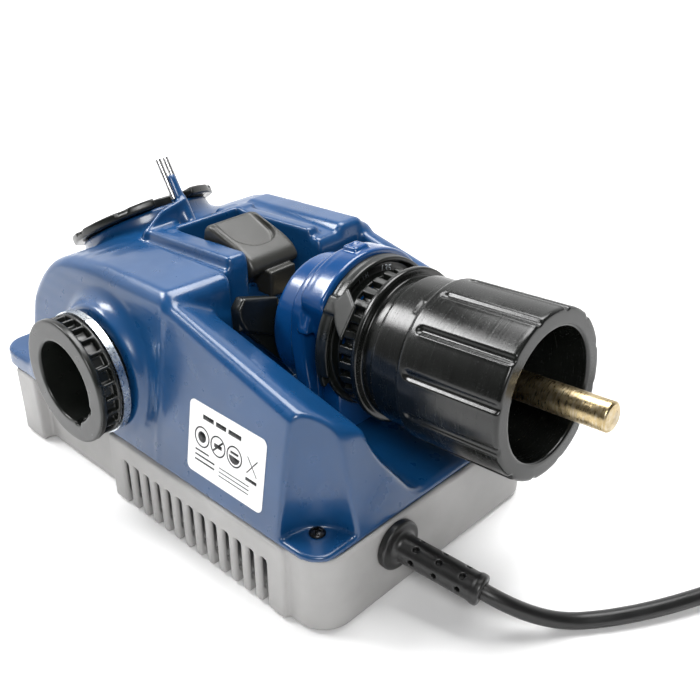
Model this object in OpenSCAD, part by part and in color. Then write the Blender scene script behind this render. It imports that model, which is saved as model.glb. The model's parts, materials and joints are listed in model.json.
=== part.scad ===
// Bench drill bit sharpener: a motor-driven diamond wheel in a two-part plastic body,
// with an alignment port, a sharpening port and a point-splitting port for a six-jaw chuck.
// Lengths are in millimetres. Inside the corner frame, x runs right from the left face,
// y runs back from the front face and z runs up from the resting plane.

/* [Body] */
// Width of the base
body_w = 150; // [148:1:154]
// Length of the base, front to back
body_l = 248; // [246:1:256]
// Height of the seam between base and upper housing
seam_z = 39.5; // [38.5:0.5:40.5]
// Height of the flat top of the upper housing
top_z = 120; // [119:0.5:122]
// Thickness of the plastic walls
wall = 3; // [2.6:0.2:3.2]
// Radius of the corners in plan
corner_r = 15; // [13:1:16]
// Lean of the left wall from upright, in degrees
left_draft = 9; // [8:0.5:10]
// Number of vent slots in the left side
vent_count = 13; // [9:2:13]

/* [Alignment port] */
// Distance of the port's axis from the left face
align_x = 88; // [87:0.5:89]
// Tilt of the port's axis, up towards the front, in degrees
align_pitch = 4; // [3:0.5:4.5]
// Radius of the port's blue flange
align_flange_r = 41; // [40:0.5:41.5]

/* [Sharpening port] */
// Half of the drill point angle, which sets the tilt of the port
half_point_angle = 59; // [58:0.5:60]
// Radius of the port's flange
sharpen_flange_r = 39.5; // [38:0.5:40]

/* [Splitting port] */
// Radius of the port's flange
split_flange_r = 30; // [28:0.5:31]

/* [Chuck] */
// Outer radius of the chuck's knob
knob_r = 36; // [34:0.5:36.5]
// Length of the knob
knob_l = 50; // [46:1:54]
// Number of grip ribs on the knob
knob_ribs = 12; // [8:1:16]
// Radius of the drill bit held in the chuck
bit_r = 6.3; // [4:0.1:6.5]
// Number of jaws
jaw_count = 6; // [6:1:6]

/* [Drive] */
// Radius of the diamond wheel
wheel_r = 25.5; // [23:0.5:26]
// Radius of the motor can
motor_r = 26; // [24:0.5:26.5]

/* [Hidden] */
$fn = 96;
eps = 0.01;
run_gap = 0.05;              // radial clearance of shafts, rings and sliding pieces
fit_gap = 0.1;               // clearance of screws and of pieces that only rest together

// Ports. The alignment frame's origin is the centre of the blue flange's front face.
align_y = 52.6;
align_z = 92.9;
nose_r = 19.8;               // radius of the chuck's nose, the same in all three ports
port_bore_r = nose_r + run_gap;
split_y = 147;
split_z = 73.3;
split_reach = 17;            // how far the splitting port stands out of the left face
sharpen_x = 78;
sharpen_y = 213;
sharpen_z = 112;

split_tube_r = 23;
sharpen_tube_r = 23;
drum_r = 31;                 // back part of the alignment port
drum_z = -34;
spigot_r = 27;               // carries the scale ring
spigot_h = 6.5;
port_screw_r = 1.2;
collar_r = 35;               // housing's seat for the sharpening port
collar_top = -4;

// Drive. The wheel's rim passes just below both grinding ports' drill tips.
wheel_y = 153;
wheel_z = 48;
wheel_x = 50;
wheel_w = 34;
shaft_r = 4;
motor_x = 93;
motor_l = 44;
bush_r = 7;

// Body
right_draft = 7.3;
floor_z = 4;
floor_t = 3;
deck_z = 49;                 // height of the rear deck, behind the upper housing
back_y = 217.5;              // back of the upper housing above the deck
panel_y0 = 21;
panel_y1 = 146;
port_recess_y1 = 214;
port_recess = 6;
side_inset = 2.5;            // how far the left wall stands back from the vent panel
vent_pitch = 8.25;
vent_w = 4;
vent_z = 27;
rim_z = top_z + 4;           // top of the raised rim around the lever pocket
pocket_x0 = 62.5;
pocket_x1 = 102;
pocket_y1 = 160;
pocket_z = 82;
front_block_y = 100;
boss_xy = [[14.5, 15.5], [body_w - 14.5, 15.5], [15, body_l - 14], [body_w - 15, body_l - 14]];
boss_r = 5.5;
screw_r = 2;
foot_xy = [[24, 34], [body_w - 24, 34], [26, body_l - 34], [body_w - 26, body_l - 34]];

// Leaning post with three ribs and two pins, in front of the sharpening port
post_base = [76, 169, top_z - 2];
post_lean = 31;
post_l = 26;
pin_r = 1.6;

// Wheel access door in the back wall
door_x0 = 42;
door_x1 = 100;
door_z0 = 9;
door_z1 = 34;
door_pin_r = 0.8;
door_pin_end = 3;            // how far the pin goes into the wall at each end
door_pin_l = door_x1 - door_x0 + 2 * door_pin_end;

// Rocker switch in the right wall
switch_at = [60, 58];        // y and z of its centre
switch_l = 21;
switch_w = 13;
switch_depth = 11;
pivot_r = 1.2;               // rocker's pivot

// Chuck, measured out along its axis from the alignment flange's face
flange_z = 19;               // back face of the chuck's flange
knob_z = 44;
rim_end_z = knob_z + knob_l;
nose_z = -34;
bit_tip_z = -48;
jaw_t = 2.4;
jaw_in_r = bit_r + run_gap;
hub_r = 14;

// Lever
lever_pivot = [138, 96];     // y and z of the lever's pin
lever_pin_r = 2.5;
lever_x0 = pocket_x0 + 1.5;
lever_x1 = lever_x0 + 30;
claw_z = -41;                // along the alignment axis
claw_w = 8;
claw_t = 3;
bracket_screws = [[-20, -14], [20, -14]];

// Cord and its strain relief
cord_r = 3.6;
relief_root = [45, 0, 28];
relief_r = 6.4;
relief_l = 42;
relief_yaw = 12;             // to the right
relief_droop = 10;
relief_dir = [sin(relief_yaw) * cos(relief_droop),
              -cos(relief_yaw) * cos(relief_droop),
              -sin(relief_droop)];
relief_end = relief_root + relief_dir * relief_l;
ground_z = cord_r + run_gap;
plug_at = [235, -131, 8.1];
plug_r = 13;
plug_l = 34;
pin_l = 17;
// The cord leaves the relief, drops to the resting plane and runs level into the plug.
cord_drop = [relief_end, relief_end + relief_dir * 11, [70, -60, ground_z], [85, -72.4, ground_z]];
cord_run = [cord_drop[3], [118, -101, ground_z], plug_at - [45, 0, 0], plug_at];
cord_steps = 20;

// The origin is the middle of the whole object's outline, cord and plug included.
handle_y = 2;                // how far the door's handle stands out of the back
left_end = -split_reach;
right_end = plug_at[0] + plug_l + pin_l;
front_end = plug_at[1] - plug_r;
back_end = body_l + handle_y;

module corner_frame() {
    translate([-(left_end + right_end) / 2, -(front_end + back_end) / 2, 0]) children();
}

// Local +z runs out of the alignment port, towards the user.
module align_frame() {
    corner_frame() translate([align_x, align_y, align_z]) rotate([90 - align_pitch, 0, 0]) children();
}

// Local +z runs out of the splitting port, to the left.
module split_frame() {
    corner_frame() translate([0, split_y, split_z]) rotate([0, -90, 0]) children();
}

// Local +z runs out of the sharpening port, up and back.
module sharpen_frame() {
    corner_frame() translate([sharpen_x, sharpen_y, sharpen_z]) {
        rotate([half_point_angle - 90, 0, 0]) children();
    }
}

// Local +z runs along the motor shaft, to the right, from the wheel's left face.
module shaft_frame() {
    corner_frame() translate([wheel_x, wheel_y, wheel_z]) rotate([0, 90, 0]) children();
}

module ring(r_out, r_in, h) {
    difference() {
        cylinder(r = r_out, h = h);
        translate([0, 0, -1]) cylinder(r = r_in, h = h + 2);
    }
}

module round_rect(size, r) {
    translate([r, 0]) square([size[0] - 2 * r, size[1]]);
    translate([0, r]) square([size[0], size[1] - 2 * r]);
    for (x = [r, size[0] - r], y = [r, size[1] - r]) translate([x, y]) circle(r);
}

// Extrudes a y-z outline across the body, from x0 to x1.
module across(x0, x1) {
    translate([x0, 0, 0]) rotate([90, 0, 90]) linear_extrude(x1 - x0) children();
}

// Extrudes an x-z outline from the front to the back, from y0 to y1.
module lengthways(y0, y1) {
    translate([0, y1, 0]) rotate([90, 0, 0]) linear_extrude(y1 - y0) children();
}

/* ---- base ---- */

module base_tray() {
    color("gainsboro") corner_frame() difference() {
        union() {
            base_walls();
            base_floor();
            for (p = boss_xy) translate([p[0], p[1], floor_z]) cylinder(r = boss_r, h = seam_z - floor_z);
        }
        for (p = boss_xy) translate([p[0], p[1], floor_z + floor_t + 8]) {
            cylinder(r = screw_r - 0.4, h = seam_z);
        }
        vent_slots();
        base_openings();
    }
}

module base_outline(grow) {
    translate([side_inset - grow, -grow]) {
        round_rect([body_w - side_inset + 2 * grow, body_l + 2 * grow], corner_r + grow);
    }
}

module base_walls() {
    difference() {
        union() {
            translate([0, 0, 1]) linear_extrude(seam_z - 1) base_outline(0);
            translate([0, panel_y0, 1]) cube([side_inset + 1, panel_y1 - panel_y0, seam_z - 2.5]);
            translate([0, port_recess_y1, 1]) {
                cube([side_inset + 1, body_l - port_recess_y1 - corner_r, seam_z - 1]);
            }
        }
        translate([0, 0, -1]) linear_extrude(seam_z + 2) base_outline(-wall);
        translate([-1, panel_y1, -1]) cube([port_recess + 1, port_recess_y1 - panel_y1, seam_z + 2]);
    }
    translate([port_recess, panel_y1 - wall, 1]) {
        cube([wall, port_recess_y1 - panel_y1 + 2 * wall, seam_z - 1]);
    }
    translate([side_inset, panel_y1 - wall, 1]) cube([port_recess, wall, seam_z - 1]);
    translate([side_inset, port_recess_y1, 1]) cube([port_recess, wall, seam_z - 1]);
}

module base_floor() {
    translate([0, 0, floor_z]) linear_extrude(floor_t) difference() {
        base_outline(-1);
        translate([-1, panel_y1 - 1]) square([port_recess + 2, port_recess_y1 - panel_y1 + 2]);
    }
}

module vent_slots() {
    first_y = (panel_y0 + panel_y1 - (vent_count - 1) * vent_pitch - vent_w) / 2;
    through = side_inset + wall + 2;
    for (i = [0 : vent_count - 1]) translate([-1, first_y + i * vent_pitch, 0]) {
        translate([0, 0, -1]) cube([through, vent_w, floor_z + 1]);
        translate([0, 0, floor_z + floor_t]) cube([through, vent_w, vent_z - floor_z - floor_t]);
        translate([0, 0, floor_z - 1]) cube([2.4, vent_w, floor_t + 2]);
    }
}

module base_openings() {
    translate([relief_root[0], wall + 1, relief_root[2]]) rotate([90, 0, 0]) {
        cylinder(r = relief_r + fit_gap, h = wall + 2);
    }
    translate([door_x0, body_l - wall - 1, door_z0]) {
        cube([door_x1 - door_x0, wall + 2, door_z1 - door_z0]);
    }
    for (p = foot_xy) translate([p[0], p[1], floor_z - 1]) cylinder(r = 2.6, h = floor_t + 2);
    door_axis() translate([0, 0, -door_pin_end - 0.5]) {
        cylinder(r = door_pin_r + fit_gap / 2, h = door_pin_l + 1);
    }
}

// Local +z runs along the door's hinge, to the right, from the opening's left edge.
module door_axis() {
    translate([door_x0, body_l - 1.6, door_z1 - 2.4]) rotate([0, 90, 0]) children();
}

module rubber_feet() {
    color("dimgray") corner_frame() for (p = foot_xy) translate([p[0], p[1], 0]) {
        cylinder(r = 8, h = floor_z);
        translate([0, 0, floor_z - eps]) cylinder(r = 2.5, h = floor_t + 0.2);
        translate([0, 0, floor_z + floor_t + 0.1]) cylinder(r = 3.4, h = 1.6);
    }
}

/* ---- upper housing ---- */

module side_profile(bottom_z) {
    polygon([[1.5, bottom_z], [1.5, seam_z], [7, 80], [11, 91], [19, 97.5], [94, 115], [96, 118],
             [front_block_y, top_z], [172, top_z], [190, 114], [203, 105], [214, 88], [back_y, deck_z],
             [back_y, bottom_z]]);
}

module front_profile(bottom_z) {
    left_top = (top_z + 10 - seam_z) * tan(left_draft);
    right_top = (top_z + 10 - seam_z) * tan(right_draft);
    polygon([[0, bottom_z], [0, seam_z], [left_top, top_z + 10], [body_w - right_top, top_z + 10],
             [body_w, seam_z], [body_w, bottom_z]]);
}

// The body's outer form, or its inner one when inset is the wall's thickness. The inner form is open below.
module envelope(inset) {
    bottom_z = seam_z - 3 * inset;
    intersection() {
        across(-1, body_w + 1) offset(delta = -inset) side_profile(bottom_z);
        lengthways(-1, body_l + 1) offset(delta = -inset) front_profile(bottom_z);
        translate([0, 0, seam_z - 2 * inset]) linear_extrude(top_z) translate([inset, inset]) {
            round_rect([body_w - 2 * inset, body_l - 2 * inset], corner_r - inset);
        }
    }
}

module rear_deck(inset) {
    translate([inset, 190, seam_z - inset]) linear_extrude(deck_z - seam_z) {
        round_rect([body_w - 2 * inset, body_l - 190 - inset], corner_r - inset);
    }
}

// Channel between the two arms in front of the top block, where the chuck lies.
module front_channel(grow) {
    rise = 7.2;
    intersection() {
        translate([0, 0, 43 - grow]) rotate([rise, 0, 0]) lengthways(-20, front_block_y + 30) {
            polygon([[62 - grow, 0], [38 - grow, 31], [34 - grow, 50], [34 - grow, 110], [131 + grow, 110],
                     [131 + grow, 50], [128 + grow, 25], [114 + grow, 0]]);
        }
        translate([0, -20, 0]) cube([body_w, front_block_y + 20 + grow, 200]);
    }
}

// The left arm's top falls to the right from its ridge.
module arm_slope(grow) {
    translate([17 - grow, 94, 115 - grow]) rotate([13.1, 0, 0]) translate([0, front_block_y - 94, 0]) {
        rotate([90, 0, 0]) linear_extrude(130) polygon([[0, 0], [60, -33], [60, 30], [0, 30]]);
    }
}

module lever_pocket(grow) {
    translate([pocket_x0 - grow, front_block_y - 12, pocket_z - grow]) {
        cube([pocket_x1 - pocket_x0 + 2 * grow, pocket_y1 + grow - front_block_y + 12, 60]);
    }
}

// Upright half-round pocket at each front corner, down to the screw's tab.
module corner_pocket(grow) {
    for (x = [3, body_w - 3]) translate([x, 3, 42.5 - grow]) cylinder(r = 20.8 + grow, h = 80);
}

// Step in the top block's front, behind the claws' bracket.
module bracket_recess(grow) {
    translate([46 - grow, front_block_y - 1, 84 - grow]) {
        cube([pocket_x0 - 45 + 2 * grow, 8.6 + grow, 60]);
    }
}

module rim_blocks() {
    translate([51, 108, top_z - 1]) cube([pocket_x0 - 51, pocket_y1 + 4 - 108, rim_z - top_z + 1]);
    translate([pocket_x1, 107, top_z - 1]) cube([24, pocket_y1 + 4 - 107, rim_z - top_z + 1]);
    translate([51, pocket_y1, top_z - 1]) cube([pocket_x1 - 27, 4, rim_z - top_z + 1]);
}

// Round seat under the sharpening port's flange.
module sharpen_collar(inset) {
    intersection() {
        translate([sharpen_x, sharpen_y, sharpen_z]) rotate([half_point_angle - 90, 0, 0]) {
            translate([0, 0, collar_top - inset - 70]) cylinder(r = collar_r - inset, h = 70);
        }
        translate([0, 0, seam_z]) cube([body_w, body_l - 0.5 - inset, 200]);
    }
}

module housing_outer() {
    difference() {
        union() {
            envelope(0);
            rear_deck(0);
            sharpen_collar(0);
        }
        front_channel(0);
        arm_slope(0);
        corner_pocket(0);
        bracket_recess(0);
    }
    rim_blocks();
}

module housing_inner() {
    difference() {
        union() {
            envelope(wall);
            rear_deck(wall);
            sharpen_collar(wall);
        }
        front_channel(wall);
        arm_slope(wall);
        corner_pocket(wall);
        bracket_recess(wall);
        lever_pocket(wall);
        for (p = boss_xy) translate([p[0], p[1], 0]) cylinder(r = boss_r, h = 60);
    }
}

module upper_housing() {
    color("royalblue") difference() {
        union() {
            corner_frame() housing_body();
            follower_post();
        }
        split_frame() translate([0, 0, -40]) cylinder(r = split_tube_r + fit_gap, h = 60);
        sharpen_frame() translate([0, 0, -60]) cylinder(r = sharpen_tube_r + fit_gap, h = 90);
        align_frame() translate([0, 0, -52]) cylinder(r = 12, h = 30);
        bracket_screw_places() translate([0, 0, -16]) cylinder(r = screw_r + fit_gap, h = 14);
        follower_pin_places() translate([0, 0, -1]) cylinder(r = pin_r + fit_gap / 2, h = 30);
        corner_frame() housing_holes();
        switch_frame() switch_block(fit_gap);
    }
}

module housing_body() {
    difference() {
        housing_outer();
        housing_inner();
        lever_pocket(0);
    }
}

module housing_holes() {
    for (p = boss_xy) translate([p[0], p[1], 0]) cylinder(r = screw_r + fit_gap, h = 80);
    lever_axis(pocket_x0 - 10) cylinder(r = lever_pin_r + fit_gap / 2, h = pocket_x1 - pocket_x0 + 20);
    port_screw_places() cylinder(r = port_screw_r + fit_gap, h = 6);
}

module post_frame() {
    corner_frame() translate(post_base) rotate([-post_lean, 0, 0]) children();
}

// Post and the low wall that runs from it to the left.
module follower_post() {
    corner_frame() lengthways(post_base[1] + 1.4, post_base[1] + 3.6) {
        polygon([[50, 112], [78, 112], [78, 131.8], [50, 129.6]]);
    }
    post_frame() {
        cylinder(r1 = 8, r2 = 4.5, h = post_l);
        for (a = [-55, 55, 180]) rotate([0, 0, a]) translate([-1, 0, 0]) rotate([90, 0, 90]) {
            linear_extrude(2) polygon([[0, 0], [15, 0], [4.4, post_l], [0, post_l]]);
        }
    }
}

module follower_pin_places() {
    for (x = [-2.2, 2.2]) post_frame() translate([x, 0, post_l - 12]) children();
}

module follower_pins() {
    color("silver") follower_pin_places() cylinder(r = pin_r, h = 21);
}

module housing_screws() {
    color("black") corner_frame() for (p = boss_xy) {
        head_z = p[1] < body_l / 2 ? 42.5 : deck_z;
        translate([p[0], p[1], head_z]) screw(3.6, 2.2, screw_r - 0.5, head_z - floor_z - floor_t - 10);
    }
}

// A pan-head screw with its seat at z = 0 and its shank below.
module screw(head_r, head_h, shank_r, shank_l) {
    difference() {
        union() {
            cylinder(r = head_r, h = head_h * 0.5);
            translate([0, 0, head_h * 0.5]) cylinder(r1 = head_r, r2 = head_r * 0.72, h = head_h * 0.5);
            translate([0, 0, -shank_l]) cylinder(r = shank_r, h = shank_l + eps);
        }
        for (a = [0, 90]) rotate([0, 0, a]) translate([-head_r * 0.55, -0.45, head_h * 0.4]) {
            cube([head_r * 1.1, 0.9, head_h]);
        }
    }
}

module rating_label() {
    label_y0 = 34.5;
    label_w = 48.5;
    label_h = 34;
    color("white") corner_frame() translate([wall_x(49), label_y0, 49]) rotate([0, left_draft, 0]) {
        rotate([90, 0, 90]) translate([0, 0, -0.25]) linear_extrude(0.24) round_rect([label_w, label_h], 3);
    }
}

// Left wall's x at a height.
function wall_x(z) = (z - seam_z) * tan(left_draft);

/* ---- splitting port ---- */

module split_port_tube() {
    fins = 24;
    color("black") split_frame() difference() {
        union() {
            translate([0, 0, split_reach - 3.5]) cylinder(r = split_flange_r, h = 3.5);
            translate([0, 0, split_reach - 11.5]) cylinder(r = split_flange_r - 0.6, h = 1.8);
            translate([0, 0, split_reach - 11]) cylinder(r = split_flange_r - 4, h = 9);
            translate([0, 0, -28]) cylinder(r = split_tube_r, h = 28 + split_reach - 4);
            for (i = [0 : fins - 1]) rotate([0, 0, i * 360 / fins]) {
                translate([split_flange_r - 5, -0.7, split_reach - 11]) cube([4, 1.4, 9]);
            }
        }
        translate([0, 0, -30]) cylinder(r = port_bore_r, h = 60);
        for (a = [200, 250]) rotate([0, 0, a]) translate([port_bore_r - 1, -2.2, split_reach - 5]) {
            cube([2.4, 4.4, 6]);
        }
    }
}

module split_port_collar() {
    color("lightgray") split_frame() translate([0, 0, split_reach - 15.4]) {
        ring(split_flange_r, split_tube_r + fit_gap, 3.6);
    }
}

/* ---- sharpening port ---- */

// The flange is cut away at its front, where the follower post stands.
module sharpen_port_tube() {
    color("black") sharpen_frame() difference() {
        union() {
            translate([0, 0, -3.8]) cylinder(r = sharpen_flange_r, h = 4.4);
            translate([0, 0, -50]) cylinder(r = sharpen_tube_r, h = 48);
        }
        translate([0, 0, -52]) cylinder(r = port_bore_r, h = 60);
        for (a = [0 : 45 : 315]) rotate([0, 0, a]) translate([sharpen_flange_r - 2.5, -3, -1.4]) {
            cube([4, 6, 3]);
        }
        translate([post_base[0] - sharpen_x - 11, -sharpen_flange_r - 1, -4]) {
            cube([22, sharpen_flange_r - 31, 6]);
        }
    }
}

module sharpen_port_nut() {
    nut_t = 5;
    color("lightgray") sharpen_frame() translate([0, 0, collar_top - wall - nut_t - fit_gap]) {
        ring(sharpen_tube_r + 4, sharpen_tube_r + fit_gap, nut_t);
    }
}

/* ---- alignment port ---- */

module align_port_body() {
    color("mediumblue") difference() {
        union() {
            align_frame() {
                align_flange();
                translate([0, 0, drum_z]) cylinder(r = drum_r, h = -drum_z - 5);
                translate([0, 0, -eps]) cylinder(r = spigot_r, h = spigot_h);
            }
            corner_frame() align_port_foot();
        }
        align_frame() translate([0, 0, drum_z - 1]) cylinder(r = port_bore_r, h = 60);
        align_frame() rotate([0, 0, 225]) translate([nose_r - 1.5, -2.2, drum_z - 1]) cube([3, 4.4, 60]);
        corner_frame() port_screw_places() cylinder(r = port_screw_r + fit_gap, h = 15);
    }
}

// Below the port's axis the flange draws in to two straight legs.
module align_flange() {
    intersection() {
        translate([0, 0, -10]) cylinder(r = align_flange_r - 1.5, h = 10);
        translate([0, 0, -11]) linear_extrude(12) {
            translate([-60, 10]) square([120, 60]);
            translate([-25, -60]) square([50, 71]);
        }
    }
}

// The port's foot fills the middle of the housing's channel.
module align_port_foot() {
    intersection() {
        front_channel(-fit_gap);
        translate([align_x - 24.4, align_y + 1.2, seam_z]) cube([48.8, 20, 72 - seam_z]);
    }
}

// Each screw's seat, under the channel's floor, with local +z upwards.
module port_screw_places() {
    for (x = [-18, 18]) translate([align_x + x, align_y + 7.5, 47]) children();
}

module align_port_screws() {
    color("gray") corner_frame() port_screw_places() rotate([180, 0, 0]) screw(2.6, 1.8, port_screw_r, 13);
}

module angle_scale_ring() {
    color("black") align_frame() translate([0, 0, run_gap]) {
        ring(33, spigot_r + run_gap, 2.5);
        intersection() {
            union() {
                ring(37, 30, 2.4);
                ring(37, 34.5, 6.2);
            }
            translate([-50, -2, 0]) cube([100, 50, 10]);
        }
        rotate([0, 0, 140]) {
            translate([34.8, -5, 0.3]) cube([3.2, 8, 6.7]);
            translate([36.4, 0, 0]) rotate([90, 0, 90]) linear_extrude(1.8) {
                polygon([[-9.9, 8.2], [-1.6, 4.2], [6.5, 9.4], [12.4, 16.2], [-3, 16.2]]);
            }
        }
    }
}

// Guides the two claws behind the alignment port, and stands off the housing on two bosses.
module claw_bracket() {
    thick = 5;
    color("black") align_frame() translate([0, 0, claw_z - thick / 2]) difference() {
        union() {
            linear_extrude(thick) polygon([[-42, 21.5], [-46, 17], [-46, 8], [-14, -27], [14, -27], [38, 0],
                                           [38, 20], [24, 20], [24, 7], [-24, 7], [-24, 15.8]]);
            for (p = bracket_screws) translate([p[0], p[1], -4.6]) cylinder(r = 4, h = 4.9);
        }
        translate([0, 0, -1]) cylinder(r = 13, h = thick + 2);
        translate([-60, -claw_w / 2 - run_gap, (thick - claw_t) / 2 - run_gap]) {
            cube([120, claw_w + 2 * run_gap, claw_t + 2 * run_gap]);
        }
        for (p = bracket_screws) translate([p[0], p[1], -6]) cylinder(r = screw_r + fit_gap, h = thick + 7);
    }
}

// Each bracket screw's seat, with local +z towards its head.
module bracket_screw_places() {
    for (p = bracket_screws) align_frame() translate([p[0], p[1], claw_z + 2.5]) children();
}

module claw_bracket_screws() {
    color("gray") bracket_screw_places() screw(3.6, 2, screw_r, 14);
}

// One claw: a flat steel slider with a hooked end that takes the drill by its flutes.
module claw(side) {
    reach = bit_r + 0.1;
    color("silver") align_frame() translate([0, 0, claw_z]) scale([side, 1, 1]) {
        translate([reach + 3, -claw_w / 2, -claw_t / 2]) cube([24, claw_w, claw_t]);
        translate([reach, -1.6, -claw_t / 2]) cube([3 + eps, 3.2, claw_t]);
    }
}

module left_claw() {
    claw(-1);
}

module right_claw() {
    claw(1);
}

/* ---- lever ---- */

// Local +z runs along the lever's pin, to the right, from the given x.
module lever_axis(x) {
    translate([x, lever_pivot[0], lever_pivot[1]]) rotate([0, 90, 0]) children();
}

module align_lever() {
    color("dimgray") corner_frame() difference() {
        union() {
            across(lever_x0, lever_x1) {
                polygon([[131, 90], [143, 91], [144.5, 112], [141.5, 127], [137, 129.2], [112.5, 121.8],
                         [107, 117.5], [104.5, 110], [106.5, 104], [120, 100]]);
            }
            across(lever_x0 + 7, lever_x1 - 7) polygon([[103, 100], [103, 113], [116, 113], [116, 100]]);
        }
        lever_axis(0) cylinder(r = lever_pin_r + run_gap, h = body_w);
        translate([(lever_x0 + lever_x1) / 2, 117, 149.4]) sphere(r = 27);
    }
}

module lever_pin() {
    color("silver") corner_frame() lever_axis(pocket_x0 - 8) {
        cylinder(r = lever_pin_r, h = pocket_x1 - pocket_x0 + 16);
    }
}

module lever_spring() {
    turns = 3;
    color("gray") corner_frame() lever_axis(lever_x1 + 2) {
        linear_extrude(2.8, twist = -360 * turns, slices = 48) translate([4.2, 0]) circle(r = 0.42, $fn = 12);
    }
}

/* ---- chuck ---- */

module chuck_body() {
    color("black") align_frame() difference() {
        union() {
            translate([0, 0, nose_z]) cylinder(r = nose_r, h = flange_z - nose_z + 1);
            translate([0, 0, flange_z]) cylinder(r = knob_r - 0.5, h = 3);
            translate([0, 0, flange_z + 2]) cylinder(r = knob_r - 4.4, h = 8);
            translate([0, 0, flange_z + 9.4]) cylinder(r = knob_r - 2.6, h = knob_z - flange_z - 9.6);
            translate([0, 0, knob_z - 1]) cylinder(r = hub_r, h = 14);
            nose_key();
        }
        translate([0, 0, nose_z - 1]) cylinder(r = bit_r + 0.6, h = 120);
        for (i = [0 : jaw_count - 1]) rotate([0, 0, 30 + i * 60]) {
            translate([0, -jaw_t / 2 - run_gap, nose_z - 1]) cube([14.5, jaw_t + 2 * run_gap, 52]);
        }
        translate([0, 0, knob_z + 10]) ring(hub_r + 2, hub_r - 1.2, 1.6);
    }
}

// The key that sets the chuck's angle in the alignment port.
module nose_key() {
    rotate([0, 0, 225]) translate([nose_r - 1.5, -2, nose_z + 6]) cube([2.7, 4, 2 - nose_z]);
}

module chuck_collar() {
    teeth = 28;
    color("black") align_frame() translate([0, 0, 9]) linear_extrude(flange_z - 9.1) difference() {
        union() {
            circle(r = 29);
            for (i = [0 : teeth - 1]) rotate(i * 360 / teeth) translate([27, -2]) square([5.4, 4]);
        }
        circle(r = nose_r + fit_gap / 2);
    }
}

module chuck_knob() {
    back_t = 9;
    color("black") align_frame() translate([0, 0, knob_z]) difference() {
        cylinder(r = knob_r, h = knob_l);
        translate([0, 0, back_t]) cylinder(r = knob_r - 8, h = knob_l);
        translate([0, 0, -1]) cylinder(r = hub_r + run_gap, h = back_t + 2);
        for (i = [0 : knob_ribs - 1]) rotate([0, 0, (i + 0.5) * 360 / knob_ribs]) knob_groove();
    }
}

module knob_groove() {
    translate([knob_r + 0.5, 0, 6]) {
        cylinder(r = 1.5, h = knob_l);
        sphere(r = 1.5, $fn = 24);
    }
}

module knob_clip() {
    color("silver") align_frame() translate([0, 0, knob_z + 10 + fit_gap]) difference() {
        ring(hub_r + 2.5, hub_r - 1.2 + fit_gap, 1.4);
        translate([4, -3, -1]) cube([20, 6, 4]);
    }
}

module drill_bit() {
    flute_l = 40;
    point_h = bit_r * tan(90 - half_point_angle);
    color("darkgoldenrod") align_frame() {
        translate([0, 0, bit_tip_z + flute_l]) cylinder(r = bit_r, h = rim_end_z + 26 - bit_tip_z - flute_l);
        translate([0, 0, rim_end_z + 26 - eps]) cylinder(r1 = bit_r, r2 = bit_r - 1, h = 1);
        translate([0, 0, bit_tip_z]) intersection() {
            linear_extrude(flute_l + eps, twist = -300, slices = 40) fluted_section();
            union() {
                cylinder(r1 = 0.2, r2 = bit_r + 0.2, h = point_h + eps);
                translate([0, 0, point_h]) cylinder(r = bit_r + 0.2, h = flute_l);
            }
        }
    }
}

module fluted_section() {
    difference() {
        circle(r = bit_r, $fn = 40);
        for (a = [0, 180]) rotate([0, 0, a]) translate([bit_r * 0.8, 0]) circle(r = bit_r * 0.58, $fn = 24);
    }
}

module chuck_jaw(i) {
    color("silver") align_frame() rotate([0, 0, 30 + (i - 1) * 60]) {
        rotate([90, 0, 0]) translate([0, 0, -jaw_t / 2]) linear_extrude(jaw_t) {
            polygon([[jaw_in_r, nose_z + 0.5], [jaw_in_r + 1.5, nose_z + 0.5], [10.8, nose_z + 14],
                     [11.2, 16], [jaw_in_r, 16]]);
        }
    }
}

/* ---- drive ---- */

module motor_can() {
    color("silver") shaft_frame() translate([0, 0, motor_x - wheel_x]) difference() {
        cylinder(r = motor_r, h = motor_l);
        translate([0, 0, 2]) cylinder(r = motor_r - 2, h = motor_l);
        translate([0, 0, -1]) cylinder(r = bush_r, h = 4);
        for (a = [0, 90, 180, 270]) rotate([0, 0, a]) translate([15, 0, -1]) cylinder(r = 3, h = 4);
        for (a = [45, 225]) rotate([0, 0, a]) translate([16, 0, -1]) cylinder(r = 1.6, h = 4);
    }
}

module motor_end_cap() {
    color("black") shaft_frame() translate([0, 0, motor_x - wheel_x + motor_l]) difference() {
        union() {
            cylinder(r = motor_r, h = 3);
            translate([0, 0, -4]) cylinder(r = motor_r - 2.1, h = 5);
            translate([0, 0, 2]) cylinder(r = 10, h = 4);
        }
        translate([0, 0, -5]) cylinder(r = motor_r - 5, h = 5);
        translate([0, 0, -6]) cylinder(r = bush_r, h = 11);
    }
}

module motor_magnets() {
    color("dimgray") shaft_frame() translate([0, 0, motor_x - wheel_x + 8]) difference() {
        ring(motor_r - 2.1, motor_r - 7, 30);
        for (a = [0, 90]) rotate([0, 0, a]) translate([-40, -4, -1]) cube([80, 8, 40]);
    }
}

module motor_bushes() {
    color("goldenrod") shaft_frame() {
        translate([0, 0, motor_x - wheel_x]) ring(bush_r - fit_gap / 2, shaft_r + run_gap, 6);
        translate([0, 0, motor_x - wheel_x + motor_l - 4]) ring(bush_r - fit_gap / 2, shaft_r + run_gap, 8);
    }
}

module motor_screws() {
    color("silver") shaft_frame() for (a = [45, 225]) rotate([0, 0, a]) {
        translate([16, 0, motor_x - wheel_x - 3.1]) rotate([180, 0, 0]) screw(3.2, 2, 1.5, 6);
    }
}

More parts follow.
